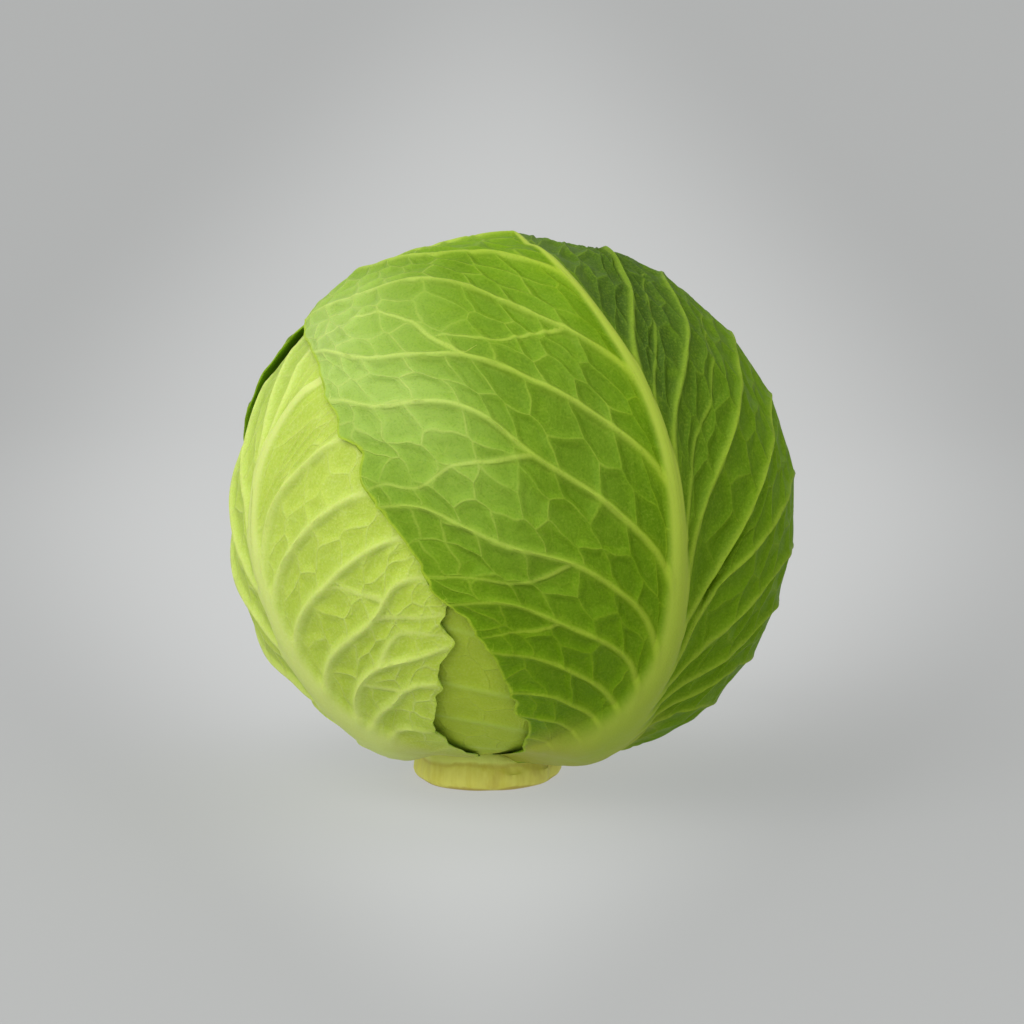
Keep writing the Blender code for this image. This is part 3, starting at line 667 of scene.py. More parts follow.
def leafFields(leaf):               # everything known about each place of a leaf, but its height
    rows = evenRows(leaf)
    halves = [halfSheet(leaf, side, rows, count + 1)
              for side, count in zip(sides, leaf["columns"])]
    directions = np.concatenate([halves[0][0][::-1], halves[1][0][1:]])
    across, up = directions.shape[:2]
    onRight = np.arange(across) > leaf["columns"][0]
    flat = directions.reshape(-1, 3)
    share = np.concatenate([np.linspace(1, 0, leaf["columns"][0] + 1),
                            np.linspace(0, 1, leaf["columns"][1] + 1)[1:]])
    fields = {
        "across": across,
        "up": up,
        "directions": flat,
        "row": np.tile(rows, across),
        "share": np.repeat(share, up),
        "right": np.repeat(onRight, up),
        "guide": np.where(onRight[:, None], halves[1][1][None], halves[0][1][None]).ravel(),
    }
    steps = np.linalg.norm(np.diff(directions, axis=0), axis=2)
    travel = np.concatenate([np.zeros((1, up)), np.cumsum(steps, axis=0)]) * sphereRadius
    atMidrib = travel[leaf["columns"][0]]
    fields["halfWidth"] = np.where(onRight[:, None], travel[-1] - atMidrib, atMidrib).ravel()
    fields["edge"] = fields["halfWidth"] - np.abs(travel - atMidrib).ravel()
    wide, fine = sheetForm["bendAmounts"]
    fields["bend"] = np.stack([wide * unevenness(flat, large, leaf["seed"] + seed)
                               + fine * unevenness(flat, small, leaf["seed"] + again)
                               for seed, again, large, small in sheetForm["bends"]], axis=-1)
    outermost = sheetForm["edgeColumns"]
    for side, columns in (("left", slice(0, outermost)),
                          ("right", slice(across - outermost, across))):
        line = directions[0 if side == "left" else -1]
        near = directions[columns].reshape(-1, 3)
        found = np.abs(distanceTo(line, near)[0]).reshape(-1, up)
        edge = fields["edge"].reshape(across, up)
        edge[columns] = np.minimum(edge[columns], found)
    return fields


def gapsBetween(leaf, side, columns):       # mm between neighbouring guides, guide by column
    lines = guidesOf(leaf, side)[0]
    share = np.linspace(0.0, 1.0, columns)
    sheet = smoothThrough(np.swapaxes(lines, 0, 1), guideSamples, share)
    return np.linalg.norm(np.diff(sheet, axis=1), axis=2).T * sphereRadius


def veinLines(leaf):                # every drawn vein: its line, its side, its guide and strength
    found = []
    for side in sides:
        lines = guidesOf(leaf, side)[0]
        for number in range(1, len(lines) - 1):
            found.append((lines[number], side == "right", number, 1.0))
        for fork in leaf[side].get("forks", ()):
            found.append((easedCurve(fork, guideSamples, sheetForm["forkPasses"]),
                          side == "right", None, sheetForm["forkStrength"]))
    return found


def veinDistances(leaf, fields):    # for each vein, how many of its half widths away a place is
    distances = []
    for line, right, number, strength in veinLines(leaf):
        chosen = fields["right"] == right
        if number is None:
            middle = unit(line.mean(axis=0))
            reach = (line @ middle).min()
            chosen &= fields["directions"] @ middle > math.cos(
                math.acos(reach) + sheetForm["forkReach"])
        else:
            chosen &= np.abs(fields["guide"] - number) < sheetForm["guideReach"]
        widths = np.full(len(chosen), 99.0)
        heights = np.zeros(len(chosen))
        signed, along = distanceTo(line, fields["directions"][chosen])
        sizes = [strength * (first + (last - first) * along ** 0.5)
                 for first, last in (leaf["veinWidth"], leaf["veinHeight"])]
        widths[chosen] = signed / sizes[0]
        heights[chosen] = sizes[1]
        if number is None:          # a fork ends softly
            heights[chosen] *= 1.0 - smoothStep(sheetForm["forkEnd"], 1.0, along)
        distances.append((widths, heights))
    return distances


def netOf(leaf, fields):            # between neighbouring veins: gap, and middles of the cells
    net = {}
    panel = np.floor(fields["guide"])
    (ahead, aside), stagger = sheetForm["cellJitter"], sheetForm["cellStagger"]
    for side in sides:
        columns = leaf["columns"][sides.index(side)] + 1
        for number, gaps in enumerate(gapsBetween(leaf, side, columns)):
            inside = (fields["right"] == (side == "right")) & (panel == number)
            length = fields["halfWidth"][inside].mean()
            shares = np.linspace(0.0, length, columns)
            random = np.random.default_rng(100 * leaf["seed"] + 2 * number + sides.index(side))
            middles = []
            out = sheetForm["firstCell"]
            while out < length:
                size = 1.0 - leaf["shrink"] * out / length
                gap = np.interp(out + 0.5 * size * leaf["cell"][0], shares, gaps)
                count = max(1, round(gap / (leaf["cell"][1] * size)))
                for row in range(count):
                    place = 0.5 + random.uniform(-ahead, ahead) + stagger * (row % 2)
                    middles.append((out + size * leaf["cell"][0] * place,
                                    (row + 0.5 + random.uniform(-aside, aside)) / count))
                out += size * leaf["cell"][0]
            out, height = np.array(middles).T
            out, height = np.tile(out, 3), np.concatenate([height, -height, 2.0 - height])
            out = np.concatenate([out, 2.0 * sheetForm["firstCell"] - out, 2.0 * length - out])
            height = np.tile(height, 3)
            places = np.stack([out, height * np.interp(out, shares, gaps)], axis=-1)
            net[side, number] = (shares, gaps, places)
    return net


def netDistances(fields, net, right, panel, corners):   # signed mm from the nearest net
    ahead, aside = sheetForm["netShift"]                # lines, and places along the net
    gaps = np.zeros((*corners.shape, 3))
    places = np.zeros((*corners.shape, 3))
    for (side, number), (shares, gap, middles) in net.items():
        chosen = np.where((right == (side == "right")) & (panel == number))[0]
        if not len(chosen):
            continue
        corner = corners[chosen]
        out = fields["share"][corner] * shares[-1]
        place = np.stack([out, (fields["guide"][corner] - number) * np.interp(out, shares, gap)],
                         axis=-1)
        place = place + fields["bend"][corner]
        centre = place.mean(axis=1)
        power = (middles ** 2).sum(axis=1) - 2.0 * centre @ middles.T
        near = middles[np.argsort(power, axis=1)[:, :3]]
        powers = (near ** 2).sum(axis=2)[:, None] - 2.0 * np.einsum("fkc,fnc->fkn", place, near)
        spacing = np.linalg.norm(near[:, 1:] - near[:, :1], axis=2)[:, None]
        gaps[chosen, :, :2] = (powers[:, :, 1:] - powers[:, :, :1]) / (2.0 * spacing)
        places[chosen, :, :2] = place + (ahead * number, aside * (side == "right"))
    return gaps, places


def columnGaps(leaf, fields, panel):        # mm between the guides on either side of a place
    gap = np.zeros(len(panel))
    for side in sides:
        onSide = fields["right"] == (side == "right")
        columns = leaf["columns"][sides.index(side)] + 1
        gaps = gapsBetween(leaf, side, columns)
        column = np.round(fields["share"][onSide] * (columns - 1)).astype(int)
        gap[onSide] = gaps[np.clip(panel[onSide], 0, len(gaps) - 1), column]
    return gap


def edgeLift(leaf, fields):         # how far the edge waves and lifts off
    form = sheetForm
    directions, edge = fields["directions"], fields["edge"]
    middle, swing = form["ruffleShare"]
    ruffles = unevenness(directions, form["ruffleSize"], leaf["seed"] + 1)
    lift = np.where(fields["right"], leaf["ruffle"][1], leaf["ruffle"][0])
    lift = lift * np.clip(middle + swing * ruffles, 0.0, 1.0)
    lift *= smoothStep(0.0, 1.0, 1.0 - edge / form["ruffleFrom"])
    flare = smoothStep(0.0, 1.0, 1.0 - edge / form["liftFrom"])
    for lon, lat, amount, spread in leaf["lifts"]:
        lift += amount * np.exp(-(degreesFrom((lon, lat), directions) / spread) ** 2) * flare
    return lift


def markLeaf(data, leaf, fields, rib, veins, net):      # what the leaf's material reads
    count, far, farRib = len(fields["edge"]), sheetForm["farWidths"], sheetForm["farRib"]
    places = np.zeros((len(data.vertices), 3))
    places[:count, 0] = fields["row"]
    places[:count, 1] = np.minimum(fields["edge"], sheetForm["farEdge"])
    places[count:, 2] = 1.0
    setAttribute(data, "leafPlace", "POINT", places)
    ribs = np.full(len(data.vertices), farRib)
    ribs[:count] = np.clip(np.abs(rib), 0.0, farRib) * np.where(fields["right"], -1.0, 1.0)
    setAttribute(data, "ribWidths", "POINT", ribs)
    corners = np.zeros(len(data.loops), dtype=np.int32)
    data.loops.foreach_get("vertex_index", corners)
    sizes = np.zeros(len(data.polygons), dtype=np.int32)
    data.polygons.foreach_get("loop_total", sizes)
    starts = np.concatenate([[0], np.cumsum(sizes)[:-1]])
    faceOf = np.repeat(np.arange(len(sizes)), sizes)
    onOuter = np.minimum.reduceat((corners < count).astype(int), starts).astype(bool)
    outerCorners = onOuter[faceOf]
    safe = np.where(corners < count, corners, 0)
    allWidths, allHeights = (np.array(values) for values in zip(*veins))
    choice = np.add.reduceat(np.abs(allWidths)[:, safe], starts, axis=1).argmin(axis=0)[faceOf]
    widths = np.clip(allWidths[choice, safe], -far, far)
    setAttribute(data, "veinWidths", "CORNER", np.where(outerCorners, widths, far))
    strength = allHeights[choice, safe] / leaf["veinHeight"][0]
    setAttribute(data, "veinStrength", "CORNER", np.where(outerCorners, strength, 0.0))
    cornersOf = starts[np.where(onOuter)[0]][:, None] + np.arange(4)
    faceCorners = corners[cornersOf]
    facePanel = np.floor(fields["guide"][faceCorners].mean(axis=1)).astype(int)
    faceRight = fields["right"][faceCorners].mean(axis=1) > 0.4
    found = netDistances(fields, net, faceRight, facePanel, faceCorners)
    for name, values in zip(("netGaps", "netPlace"), found):
        layer = np.full((len(corners), 3), sheetForm["farNet"])
        layer[cornersOf] = values
        setAttribute(data, name, "CORNER", layer)


def ribHeights(leaf, fields, rib, veins):       # of the midrib, and of its side veins
    form = sheetForm
    relief = alongMidrib(leaf["midribHeight"], fields["row"]) * np.clip(
        1.0 - (rib / form["ribReach"]) ** 2, 0.0, 1.0) ** form["ribRound"]
    relief += leaf["baseHeight"] * (1.0 - smoothStep(0.0, form["baseUntil"], fields["row"]))
    ridge = np.zeros(len(rib))
    for widths, heights in veins:
        ridge = np.maximum(ridge, heights * (
            1.0 - smoothStep(0.0, form["veinReach"], np.abs(widths))))
    return relief, ridge * smoothStep(*form["veinFromRib"], np.abs(rib))


def hollowDepths(leaf, fields, net, awayFromRib):       # between the veins, and in the cells
    form, edge = sheetForm, fields["edge"]
    panel = np.floor(fields["guide"]).astype(int)
    inPanel = fields["guide"] - panel
    gap = columnGaps(leaf, fields, panel)
    hollow = (4.0 * inPanel * (1.0 - inPanel)) ** form["hollowRound"] * np.minimum(
        1.0, gap / form["hollowGap"])
    hollow *= leaf["pocket"] * awayFromRib * smoothStep(*form["hollowFromEdge"], edge)
    everyPlace = np.arange(len(edge))[:, None]
    toNet = netDistances(fields, net, fields["right"], panel, everyPlace)[0]
    toNet = toNet[:, 0, :2].min(axis=1)
    cells = leaf["cellPocket"] * smoothStep(*form["cellRound"], toNet) * awayFromRib
    cells *= np.minimum(1.0, gap / form["cellGap"]) ** form["cellGapPower"] * (
        form["cellAtEdge"] + (1.0 - form["cellAtEdge"]) * smoothStep(*form["cellFromEdge"], edge))
    return hollow, cells


def leafHeights(index, fields):     # of both faces, and what the material reads
    leaf, form = leaves[index], sheetForm
    directions, edge = fields["directions"], fields["edge"]
    midrib = midribOf(leaf, np.linspace(0.0, 1.0, form["midribSteps"]))
    midribGap = distanceTo(midrib, directions)[0]
    ribWidth = alongMidrib(leaf["midribWidth"], fields["row"])
    rib = midribGap / ribWidth
    veins = veinDistances(leaf, fields)
    net = netOf(leaf, fields)
    relief, ridge = ribHeights(leaf, fields, rib, veins)
    awayFromRib = smoothStep(*form["hollowFromRib"], np.abs(midribGap) - ribWidth)
    hollow, cells = hollowDepths(leaf, fields, net, awayFromRib)
    undulation = leaf["swell"] * unevenness(directions, form["swellSize"], leaf["seed"] + 3)
    puff = leaf["puff"] * smoothStep(*form["hollowFromEdge"], edge)
    thin = form["edgeThin"]
    thickness = head["leafThickness"] * (
        thin + (1.0 - thin) * smoothStep(*form["edgeThinUntil"], edge))
    free = freedom(index, directions)
    lift = edgeLift(leaf, fields) * (free * smoothStep(*form["liftRows"], fields["row"]))
    inner = ridingHeight(index, directions) + lift
    outer = inner + thickness + free * (puff + relief + ridge - hollow - cells + undulation)
    inner = inner - form["innerSink"] * smoothStep(*form["innerSinkFrom"], edge)
    return outer, inner, (rib, veins, net)


def leafMesh(leaf, fields, outer, inner):       # an outer face, a coarser inner one, and a rim
    across, up, directions = fields["across"], fields["up"], fields["directions"]
    mesh = bmesh.new()
    outerGrid = bmesh.ops.create_grid(mesh, x_segments=up - 1, y_segments=across - 1, size=1.0)
    moveTo(outerGrid["verts"], placeOnHead(directions, outer) * mm)
    keptRows, keptColumns = (np.unique(np.round(
        np.linspace(0, count - 1, count // sheetForm["innerCoarse"])).astype(int))
        for count in (up, across))
    kept = (keptColumns[:, None] * up + keptRows[None]).ravel()
    innerGrid = bmesh.ops.create_grid(mesh, x_segments=len(keptRows) - 1,
                                      y_segments=len(keptColumns) - 1, size=1.0)
    moveTo(innerGrid["verts"], placeOnHead(directions[kept], inner[kept]) * mm)
    rim = [edge for edge in mesh.edges if edge.is_boundary]
    bmesh.ops.bridge_loops(mesh, edges=rim)
    bmesh.ops.recalc_face_normals(mesh, faces=mesh.faces)
    data = bpy.data.meshes.new(leaf["name"] + "Fine")
    mesh.to_mesh(data)
    openEdges = sum(1 for edge in mesh.edges if not edge.is_manifold)
    mesh.free()
    data.calc_loop_triangles()
    print(f"{leaf['name']}: {len(data.loop_triangles)} triangles, {openEdges} open edges")
    return data


def buildLeaf(index):
    leaf = leaves[index]
    fields = leafFields(leaf)
    outer, inner, marks = leafHeights(index, fields)
    data = leafMesh(leaf, fields, outer, inner)
    markLeaf(data, leaf, fields, *marks)
    data.shade_smooth()
    data.set_sharp_from_angle(angle=math.radians(sheetForm["sharpAngle"]))
    piece = bpy.data.objects.new(leaf["name"] + "Piece", data)
    bpy.context.scene.collection.objects.link(piece)
    return piece


# Materials
def newMaterial(name):
    material = bpy.data.materials.new(name)
    material.use_nodes = True
    tree = material.node_tree
    return material, tree, tree.nodes["Principled BSDF"]


def addNode(tree, kind, **settings):
    node = tree.nodes.new(kind)
    for name, value in settings.items():
        setattr(node, name, value)
    return node


def setInputs(node, values):
    for name, value in values.items():
        node.inputs[name].default_value = value


def steps(tree, source, start, end, low=0.0, high=1.0):    # a smooth ramp of a number
    node = addNode(tree, "ShaderNodeMapRange", interpolation_type="SMOOTHSTEP", clamp=True)
    setInputs(node, {"From Min": start, "From Max": end, "To Min": low, "To Max": high})
    tree.links.new(source, node.inputs["Value"])
    return node.outputs["Result"]


def arithmetic(tree, operation, first, second=None):
    node = addNode(tree, "ShaderNodeMath", operation=operation)
    for socket, value in zip(node.inputs, (first, second)):
        if value is None:
            continue
        if isinstance(value, (int, float)):
            socket.default_value = value
        else:
            tree.links.new(value, socket)
    return node.outputs["Value"]


def product(tree, *factors):
    total = factors[0]
    for factor in factors[1:]:
        total = arithmetic(tree, "MULTIPLY", total, factor)
    return total


def blendColours(tree, share, first, second, mode="MIX"):
    node = addNode(tree, "ShaderNodeMix", data_type="RGBA", blend_type=mode)
    if isinstance(share, (int, float)):
        node.inputs["Factor"].default_value = share
    else:
        tree.links.new(share, node.inputs["Factor"])
    for socket, value in ((node.inputs[6], first), (node.inputs[7], second)):
        if isinstance(value, tuple):
            socket.default_value = (*value, 1.0)
        else:
            tree.links.new(value, socket)
    return node.outputs[2]


def noise(tree, coordinate, scale, detail=4.0, roughness=0.55):
    node = addNode(tree, "ShaderNodeTexNoise")
    setInputs(node, {"Scale": scale, "Detail": detail, "Roughness": roughness})
    tree.links.new(coordinate, node.inputs["Vector"])
    return node.outputs["Fac"]


def attribute(tree, name):
    return addNode(tree, "ShaderNodeAttribute", attribute_name=name)


def separated(tree, vector):
    node = addNode(tree, "ShaderNodeSeparateXYZ")
    tree.links.new(vector, node.inputs[0])
    return node.outputs


def objectPlace(tree):
    return addNode(tree, "ShaderNodeTexCoord").outputs["Object"]


def addBump(tree, shader, height, strength, distance):
    bump = addNode(tree, "ShaderNodeBump")
    setInputs(bump, {"Strength": strength, "Distance": distance})
    tree.links.new(height, bump.inputs["Height"])
    tree.links.new(bump.outputs["Normal"], shader.inputs["Normal"])


outerLook = {
    "panel": (0.148, 0.285, 0.003),
    "panelDark": (0.098, 0.2, 0.002),
    "panelLight": (0.22, 0.38, 0.008),
    "low": (0.14, 0.27, 0.003),     # towards the stem
    # painted light and sheen left of the midrib: over the whole lit part, then at its brightest
    "paintedLightingLow": (0.31, 0.5, 0.04),
    "paintedLighting": (0.41, 0.57, 0.14),    # at its brightest; the upper part, towards the margin left of the midrib
    "base": (0.4, 0.42, 0.06),
    "vein": (0.33, 0.46, 0.03),
    "midrib": (0.36, 0.47, 0.05),
    "net": (0.24, 0.38, 0.01),
    "edge": (0.36, 0.5, 0.03),
    "inside": (0.2, 0.36, 0.015),
    # the veins under the painted light, then under the painted shade
    "veinPaintedLighting": (0.6, 0.73, 0.2),
    "veinShade": (0.2, 0.315, 0.022),
    # pale specks: the skin's grain, partly painted glints of its gloss
    "speckAndGlint": (0.32, 0.44, 0.04),
    "shade": (0.053, 0.11, 0.007),  # painted shade on the upper part right of the midrib,
    "netShade": (0.115, 0.21, 0.01),        # and painted shade on the net there
    # the net under the painted light
    "netPaintedLighting": (0.53, 0.65, 0.17),
    "shadow": (0.68, 0.74, 0.5),    # what the painted shade in the net's hollows and the dark grains are multiplied by
    "netTone": 0.68,
    "pillow": 0.62,
    "roughness": (0.45, 0.6),
    "specular": 0.07,
}
# On the left leaf the painted lighting is darker than the panel: painted shade along its left
# outline.
leftLook = dict(outerLook, panel=(0.54, 0.68, 0.11), panelDark=(0.43, 0.57, 0.065),
                shade=(0.5, 0.63, 0.09), netShade=(0.54, 0.66, 0.15), netPaintedLighting=(0.5, 0.63, 0.14),
                panelLight=(0.55, 0.68, 0.18), paintedLighting=(0.35, 0.48, 0.08), base=(0.42, 0.46, 0.07),
                vein=(0.6, 0.71, 0.17), midrib=(0.62, 0.72, 0.19), net=(0.57, 0.69, 0.17),
                veinPaintedLighting=(0.62, 0.73, 0.2), veinShade=(0.6, 0.71, 0.17),
                shadow=(0.8, 0.85, 0.6), low=(0.48, 0.62, 0.06), paintedLightingLow=(0.39, 0.53, 0.075),
                edge=(0.45, 0.6, 0.06), speckAndGlint=(0.7, 0.8, 0.34), netTone=0.6,
                pillow=0.4, specular=0.12)
innerLook = dict(outerLook, panel=(0.42, 0.54, 0.055), panelDark=(0.35, 0.48, 0.035),
                 shade=(0.42, 0.54, 0.055), netShade=(0.4, 0.54, 0.05), netPaintedLighting=(0.4, 0.54, 0.05),
                 panelLight=(0.42, 0.56, 0.06), paintedLighting=(0.4, 0.54, 0.05), base=(0.42, 0.48, 0.06),
                 vein=(0.43, 0.57, 0.07), midrib=(0.46, 0.58, 0.08), net=(0.4, 0.54, 0.05),
                 edge=(0.5, 0.6, 0.06), speckAndGlint=(0.5, 0.62, 0.16), netTone=0.4,
                 veinPaintedLighting=(0.43, 0.57, 0.07), veinShade=(0.43, 0.57, 0.07),
                 shadow=(0.84, 0.88, 0.66), low=(0.42, 0.54, 0.04), paintedLightingLow=(0.42, 0.54, 0.05),
                 pillow=0.1)
# The back leaves also get painted light on their upper left.
backLook = dict(outerLook, panel=(0.135, 0.265, 0.01), paintedLighting=(0.19, 0.34, 0.015),
                paintedLightingLow=(0.14, 0.28, 0.008), netPaintedLighting=(0.24, 0.38, 0.01))
leafLooks = (innerLook, dict(outerLook, panel=(0.2, 0.36, 0.02), low=(0.2, 0.36, 0.02),
                                   paintedLightingLow=(0.24, 0.41, 0.02), paintedLighting=(0.26, 0.43, 0.03),
                                   netPaintedLighting=(0.32, 0.46, 0.03)), leftLook, backLook, outerLook)


# What every leaf's material is drawn with. A noise is its scale, detail and roughness. A ramp
# is from, to, and its values there where they aren't 0 and 1. Ramps go by: half widths of the
# midrib (rib, above 0 on the left) or of the nearest vein (vein), shares of the midrib's length
# (rows), mm inside the margin (edge), mm from the net (net), or a noise.
leafPattern = {
    "broad": (22.0, 3.0, 0.55),
    "mottle": (160.0, 5.0, 0.6),
    "patches": (75.0, 3.0, 0.55),
    "grains": (1500.0, 2.0, 0.6),
    "netWaver": (0.3, 0.7, -0.12, 0.12),
    "netLine": (0.03, 0.62, 1.0, 0.0),
    "fineNets": ((0.24, 0.12), (0.7, 0.2)),     # scale, and where the lines end
    "clearVein": (0.9, 2.2),
    "clearRib": (0.8, 1.5),
    "netFading": (0.32, 0.62, 0.35, 1.0),
    "smallNetPatches": (0.4, 0.62),
    "panelPatches": (0.36, 0.66),
    # painted light on the upper part left of the midrib; on the left leaf, painted shade
    "paintedLightingRib": (1.5, 8.0),
    "paintedLightingRows": (0.18, 0.34),
    "paintedLightingEdge": (20.0, 69.0, 1.0, 0.18),
    "paintedLightingPatches": (0.3, 0.65, 0.8, 1.0),
    "paintedLightingTop": (0.42, 0.72, 1.0, 0.34),
    # painted shade on the upper part right of the midrib:
    "shadedRib": (-3.0, 0.0, 1.0, 0.0),
    "shadedRows": (0.2, 0.45, 0.35, 1.0),
    "shadedTop": (0.55, 0.75, 1.0, 0.6),
    "lowRows": (0.15, 0.5, 1.0, 0.0),
    "lightSpots": (0.5, 0.8, 0.0, 0.3),
    "paintedHollowShade": (0.6, 3.0, 0.0, 0.36),
    "nearVein": (0.8, 4.0, 0.35, 0.0),
    "threadTone": 0.05,
    "smallTone": 0.14,
    "veinLine": (0.25, 1.6, 1.0, 0.0),
    "veinFade": (0.0, 0.7, 0.35, 0.9),
    "ribLine": (0.7, 1.35, 1.0, 0.0),
    "baseRows": (0.03, 0.17, 0.9, 0.0),
    "baseRib": (1.0, 2.2, 1.0, 0.0),
    "edgeLine": (0.25, 1.0, 0.85, 0.0),
    "specksAndGlints": (0.5, 0.68, 0.0, 0.16),
    "darkGrains": (0.32, 0.48, 0.42, 0.0),
    "darkGrainsRib": (0.8, 1.5, 0.25, 1.0),
    "glossPatches": (0.3, 0.7),
    "pillowNet": (0.0, 3.0, 0.0, -1.6),
    "pillowEdge": (2.0, 22.0, 0.4, 1.0),
    "lineRelief": (0.7, 0.22, 0.1),         # of the large, the small and the finest net,
    "skinRelief": (0.6, 0.35),              # of the mottle and the grains
    "bump": (0.6, 0.0004),
    "subsurface": {"Subsurface Weight": 0.12, "Subsurface Radius": (0.6, 1.0, 0.15),
                   "Subsurface Scale": 0.003},
}


def leafMaterial(name, look):
    pattern = leafPattern
    material, tree, shader = newMaterial(name)
    coordinate = objectPlace(tree)
    rows, edge, inside = list(separated(tree, attribute(tree, "leafPlace").outputs["Vector"]))
    ribSide = attribute(tree, "ribWidths").outputs["Fac"]
    rib = arithmetic(tree, "ABSOLUTE", ribSide)
    vein = arithmetic(tree, "ABSOLUTE", attribute(tree, "veinWidths").outputs["Fac"])
    veinStrength = attribute(tree, "veinStrength").outputs["Fac"]
    netPlace = attribute(tree, "netPlace").outputs["Vector"]
    broad, mottle, patches, grains = (noise(tree, coordinate, *pattern[kind])
                                      for kind in ("broad", "mottle", "patches", "grains"))

    def ramp(source, kind):
        return steps(tree, source, *pattern[kind])

    def paint(under, share, colour, mode="MIX"):
        return blendColours(tree, share, under, colour, mode)

    # The net of small veins: large cells, smaller ones within, and the finest threads. The
    # attribute holds how much nearer the first cell is than the second and the third one.
    second, third = list(separated(tree, attribute(tree, "netGaps").outputs["Vector"]))[:2]
    lowest = arithmetic(tree, "MINIMUM", arithmetic(tree, "MINIMUM", second, third), 0.0)
    middle = arithmetic(tree, "MAXIMUM", arithmetic(tree, "MINIMUM", second, 0.0), arithmetic(
        tree, "MINIMUM", arithmetic(tree, "MAXIMUM", second, 0.0), third))
    toLine = arithmetic(tree, "SUBTRACT", middle, lowest)
    toLine = arithmetic(tree, "ADD", toLine, ramp(mottle, "netWaver"))
    clear = product(tree, ramp(vein, "clearVein"), ramp(rib, "clearRib"))
    lines = [product(tree, ramp(toLine, "netLine"), clear, ramp(patches, "netFading"))]
    for scale, wide in pattern["fineNets"]:
        net = addNode(tree, "ShaderNodeTexVoronoi", voronoi_dimensions="2D",
                      feature="DISTANCE_TO_EDGE")
        setInputs(net, {"Scale": scale})
        tree.links.new(netPlace, net.inputs["Vector"])
        lines.append(steps(tree, net.outputs["Distance"], 0.0, wide, 1.0, 0.0))
    lines[1] = product(tree, lines[1], ramp(mottle, "smallNetPatches"), clear)
    lines[2] = product(tree, lines[2], clear)

    # Painted light and sheen on the upper part left of the midrib (painted shade on the left leaf)
    paintedLighting = product(tree, ramp(ribSide, "paintedLightingRib"), ramp(rows, "paintedLightingRows"),
                    ramp(edge, "paintedLightingEdge"), ramp(broad, "paintedLightingPatches"), ramp(rows, "paintedLightingTop"))
    # Painted shade on the upper part right of the midrib
    shaded = product(tree, ramp(ribSide, "shadedRib"), ramp(rows, "shadedRows"),
                     ramp(rows, "shadedTop"))
    colour = paint(look["panelDark"], ramp(broad, "panelPatches"), look["panel"])
    colour = paint(colour, shaded, look["shade"])
    colour = paint(colour, ramp(rows, "lowRows"), look["low"])
    colour = paint(colour, paintedLighting, look["paintedLightingLow"])
    colour = paint(colour, product(tree, paintedLighting, paintedLighting), look["paintedLighting"])
    colour = paint(colour, ramp(mottle, "lightSpots"), look["panelLight"])
    # Painted shade in the hollows beside the net lines
    hollow = product(tree, ramp(toLine, "paintedHollowShade"), clear)
    colour = paint(colour, hollow, look["shadow"], "MULTIPLY")
    netColour = paint(look["net"], shaded, look["netShade"])
    netColour = paint(netColour, paintedLighting, look["netPaintedLighting"])
    for mask, tone in ((lines[2], pattern["threadTone"]), (lines[1], pattern["smallTone"]),
                       (lines[0], look["netTone"]), (ramp(vein, "nearVein"), 1.0)):
        colour = paint(colour, product(tree, mask, tone), netColour)
    veinColour = paint(look["vein"], shaded, look["veinShade"])
    veinColour = paint(veinColour, paintedLighting, look["veinPaintedLighting"])
    veinMask = product(tree, ramp(vein, "veinLine"), ramp(veinStrength, "veinFade"))
    colour = paint(colour, veinMask, veinColour)
    colour = paint(colour, ramp(rib, "ribLine"), look["midrib"])
    paleBase = product(tree, ramp(rows, "baseRows"), ramp(rib, "baseRib"))
    colour = paint(colour, paleBase, look["base"])
    colour = paint(colour, ramp(edge, "edgeLine"), look["edge"])
    colour = paint(colour, inside, look["inside"])
    # Pale specks: the skin's grain, partly painted glints of its gloss
    colour = paint(colour, ramp(grains, "specksAndGlints"), look["speckAndGlint"])
    dimmed = product(tree, ramp(grains, "darkGrains"), ramp(rib, "darkGrainsRib"))
    colour = paint(colour, dimmed, look["shadow"], "MULTIPLY")
    tree.links.new(colour, shader.inputs["Base Color"])
    gloss = steps(tree, mottle, *pattern["glossPatches"], *look["roughness"])
    tree.links.new(gloss, shader.inputs["Roughness"])
    setInputs(shader, {"Specular IOR Level": look["specular"], **pattern["subsurface"]})

    # Fine relief: the net stands up a little, over a pebbled skin
    pillow = product(tree, ramp(toLine, "pillowNet"), clear, ramp(edge, "pillowEdge"))
    parts = zip((*lines, mottle, grains, pillow),
                (*pattern["lineRelief"], *pattern["skinRelief"], look["pillow"]))
    height = None
    for part, share in parts:
        part = arithmetic(tree, "MULTIPLY", part, share)
        height = part if height is None else arithmetic(tree, "ADD", height, part)
    addBump(tree, shader, height, *pattern["bump"])
    return material


for index, leaf in enumerate(leaves):
    piece = buildLeaf(index)
    piece.data.materials.append(leafMaterial(leaf["name"] + "Skin", leafLooks[index]))
    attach(piece, "root")
    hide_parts(leaf["name"])
print("leaves done")


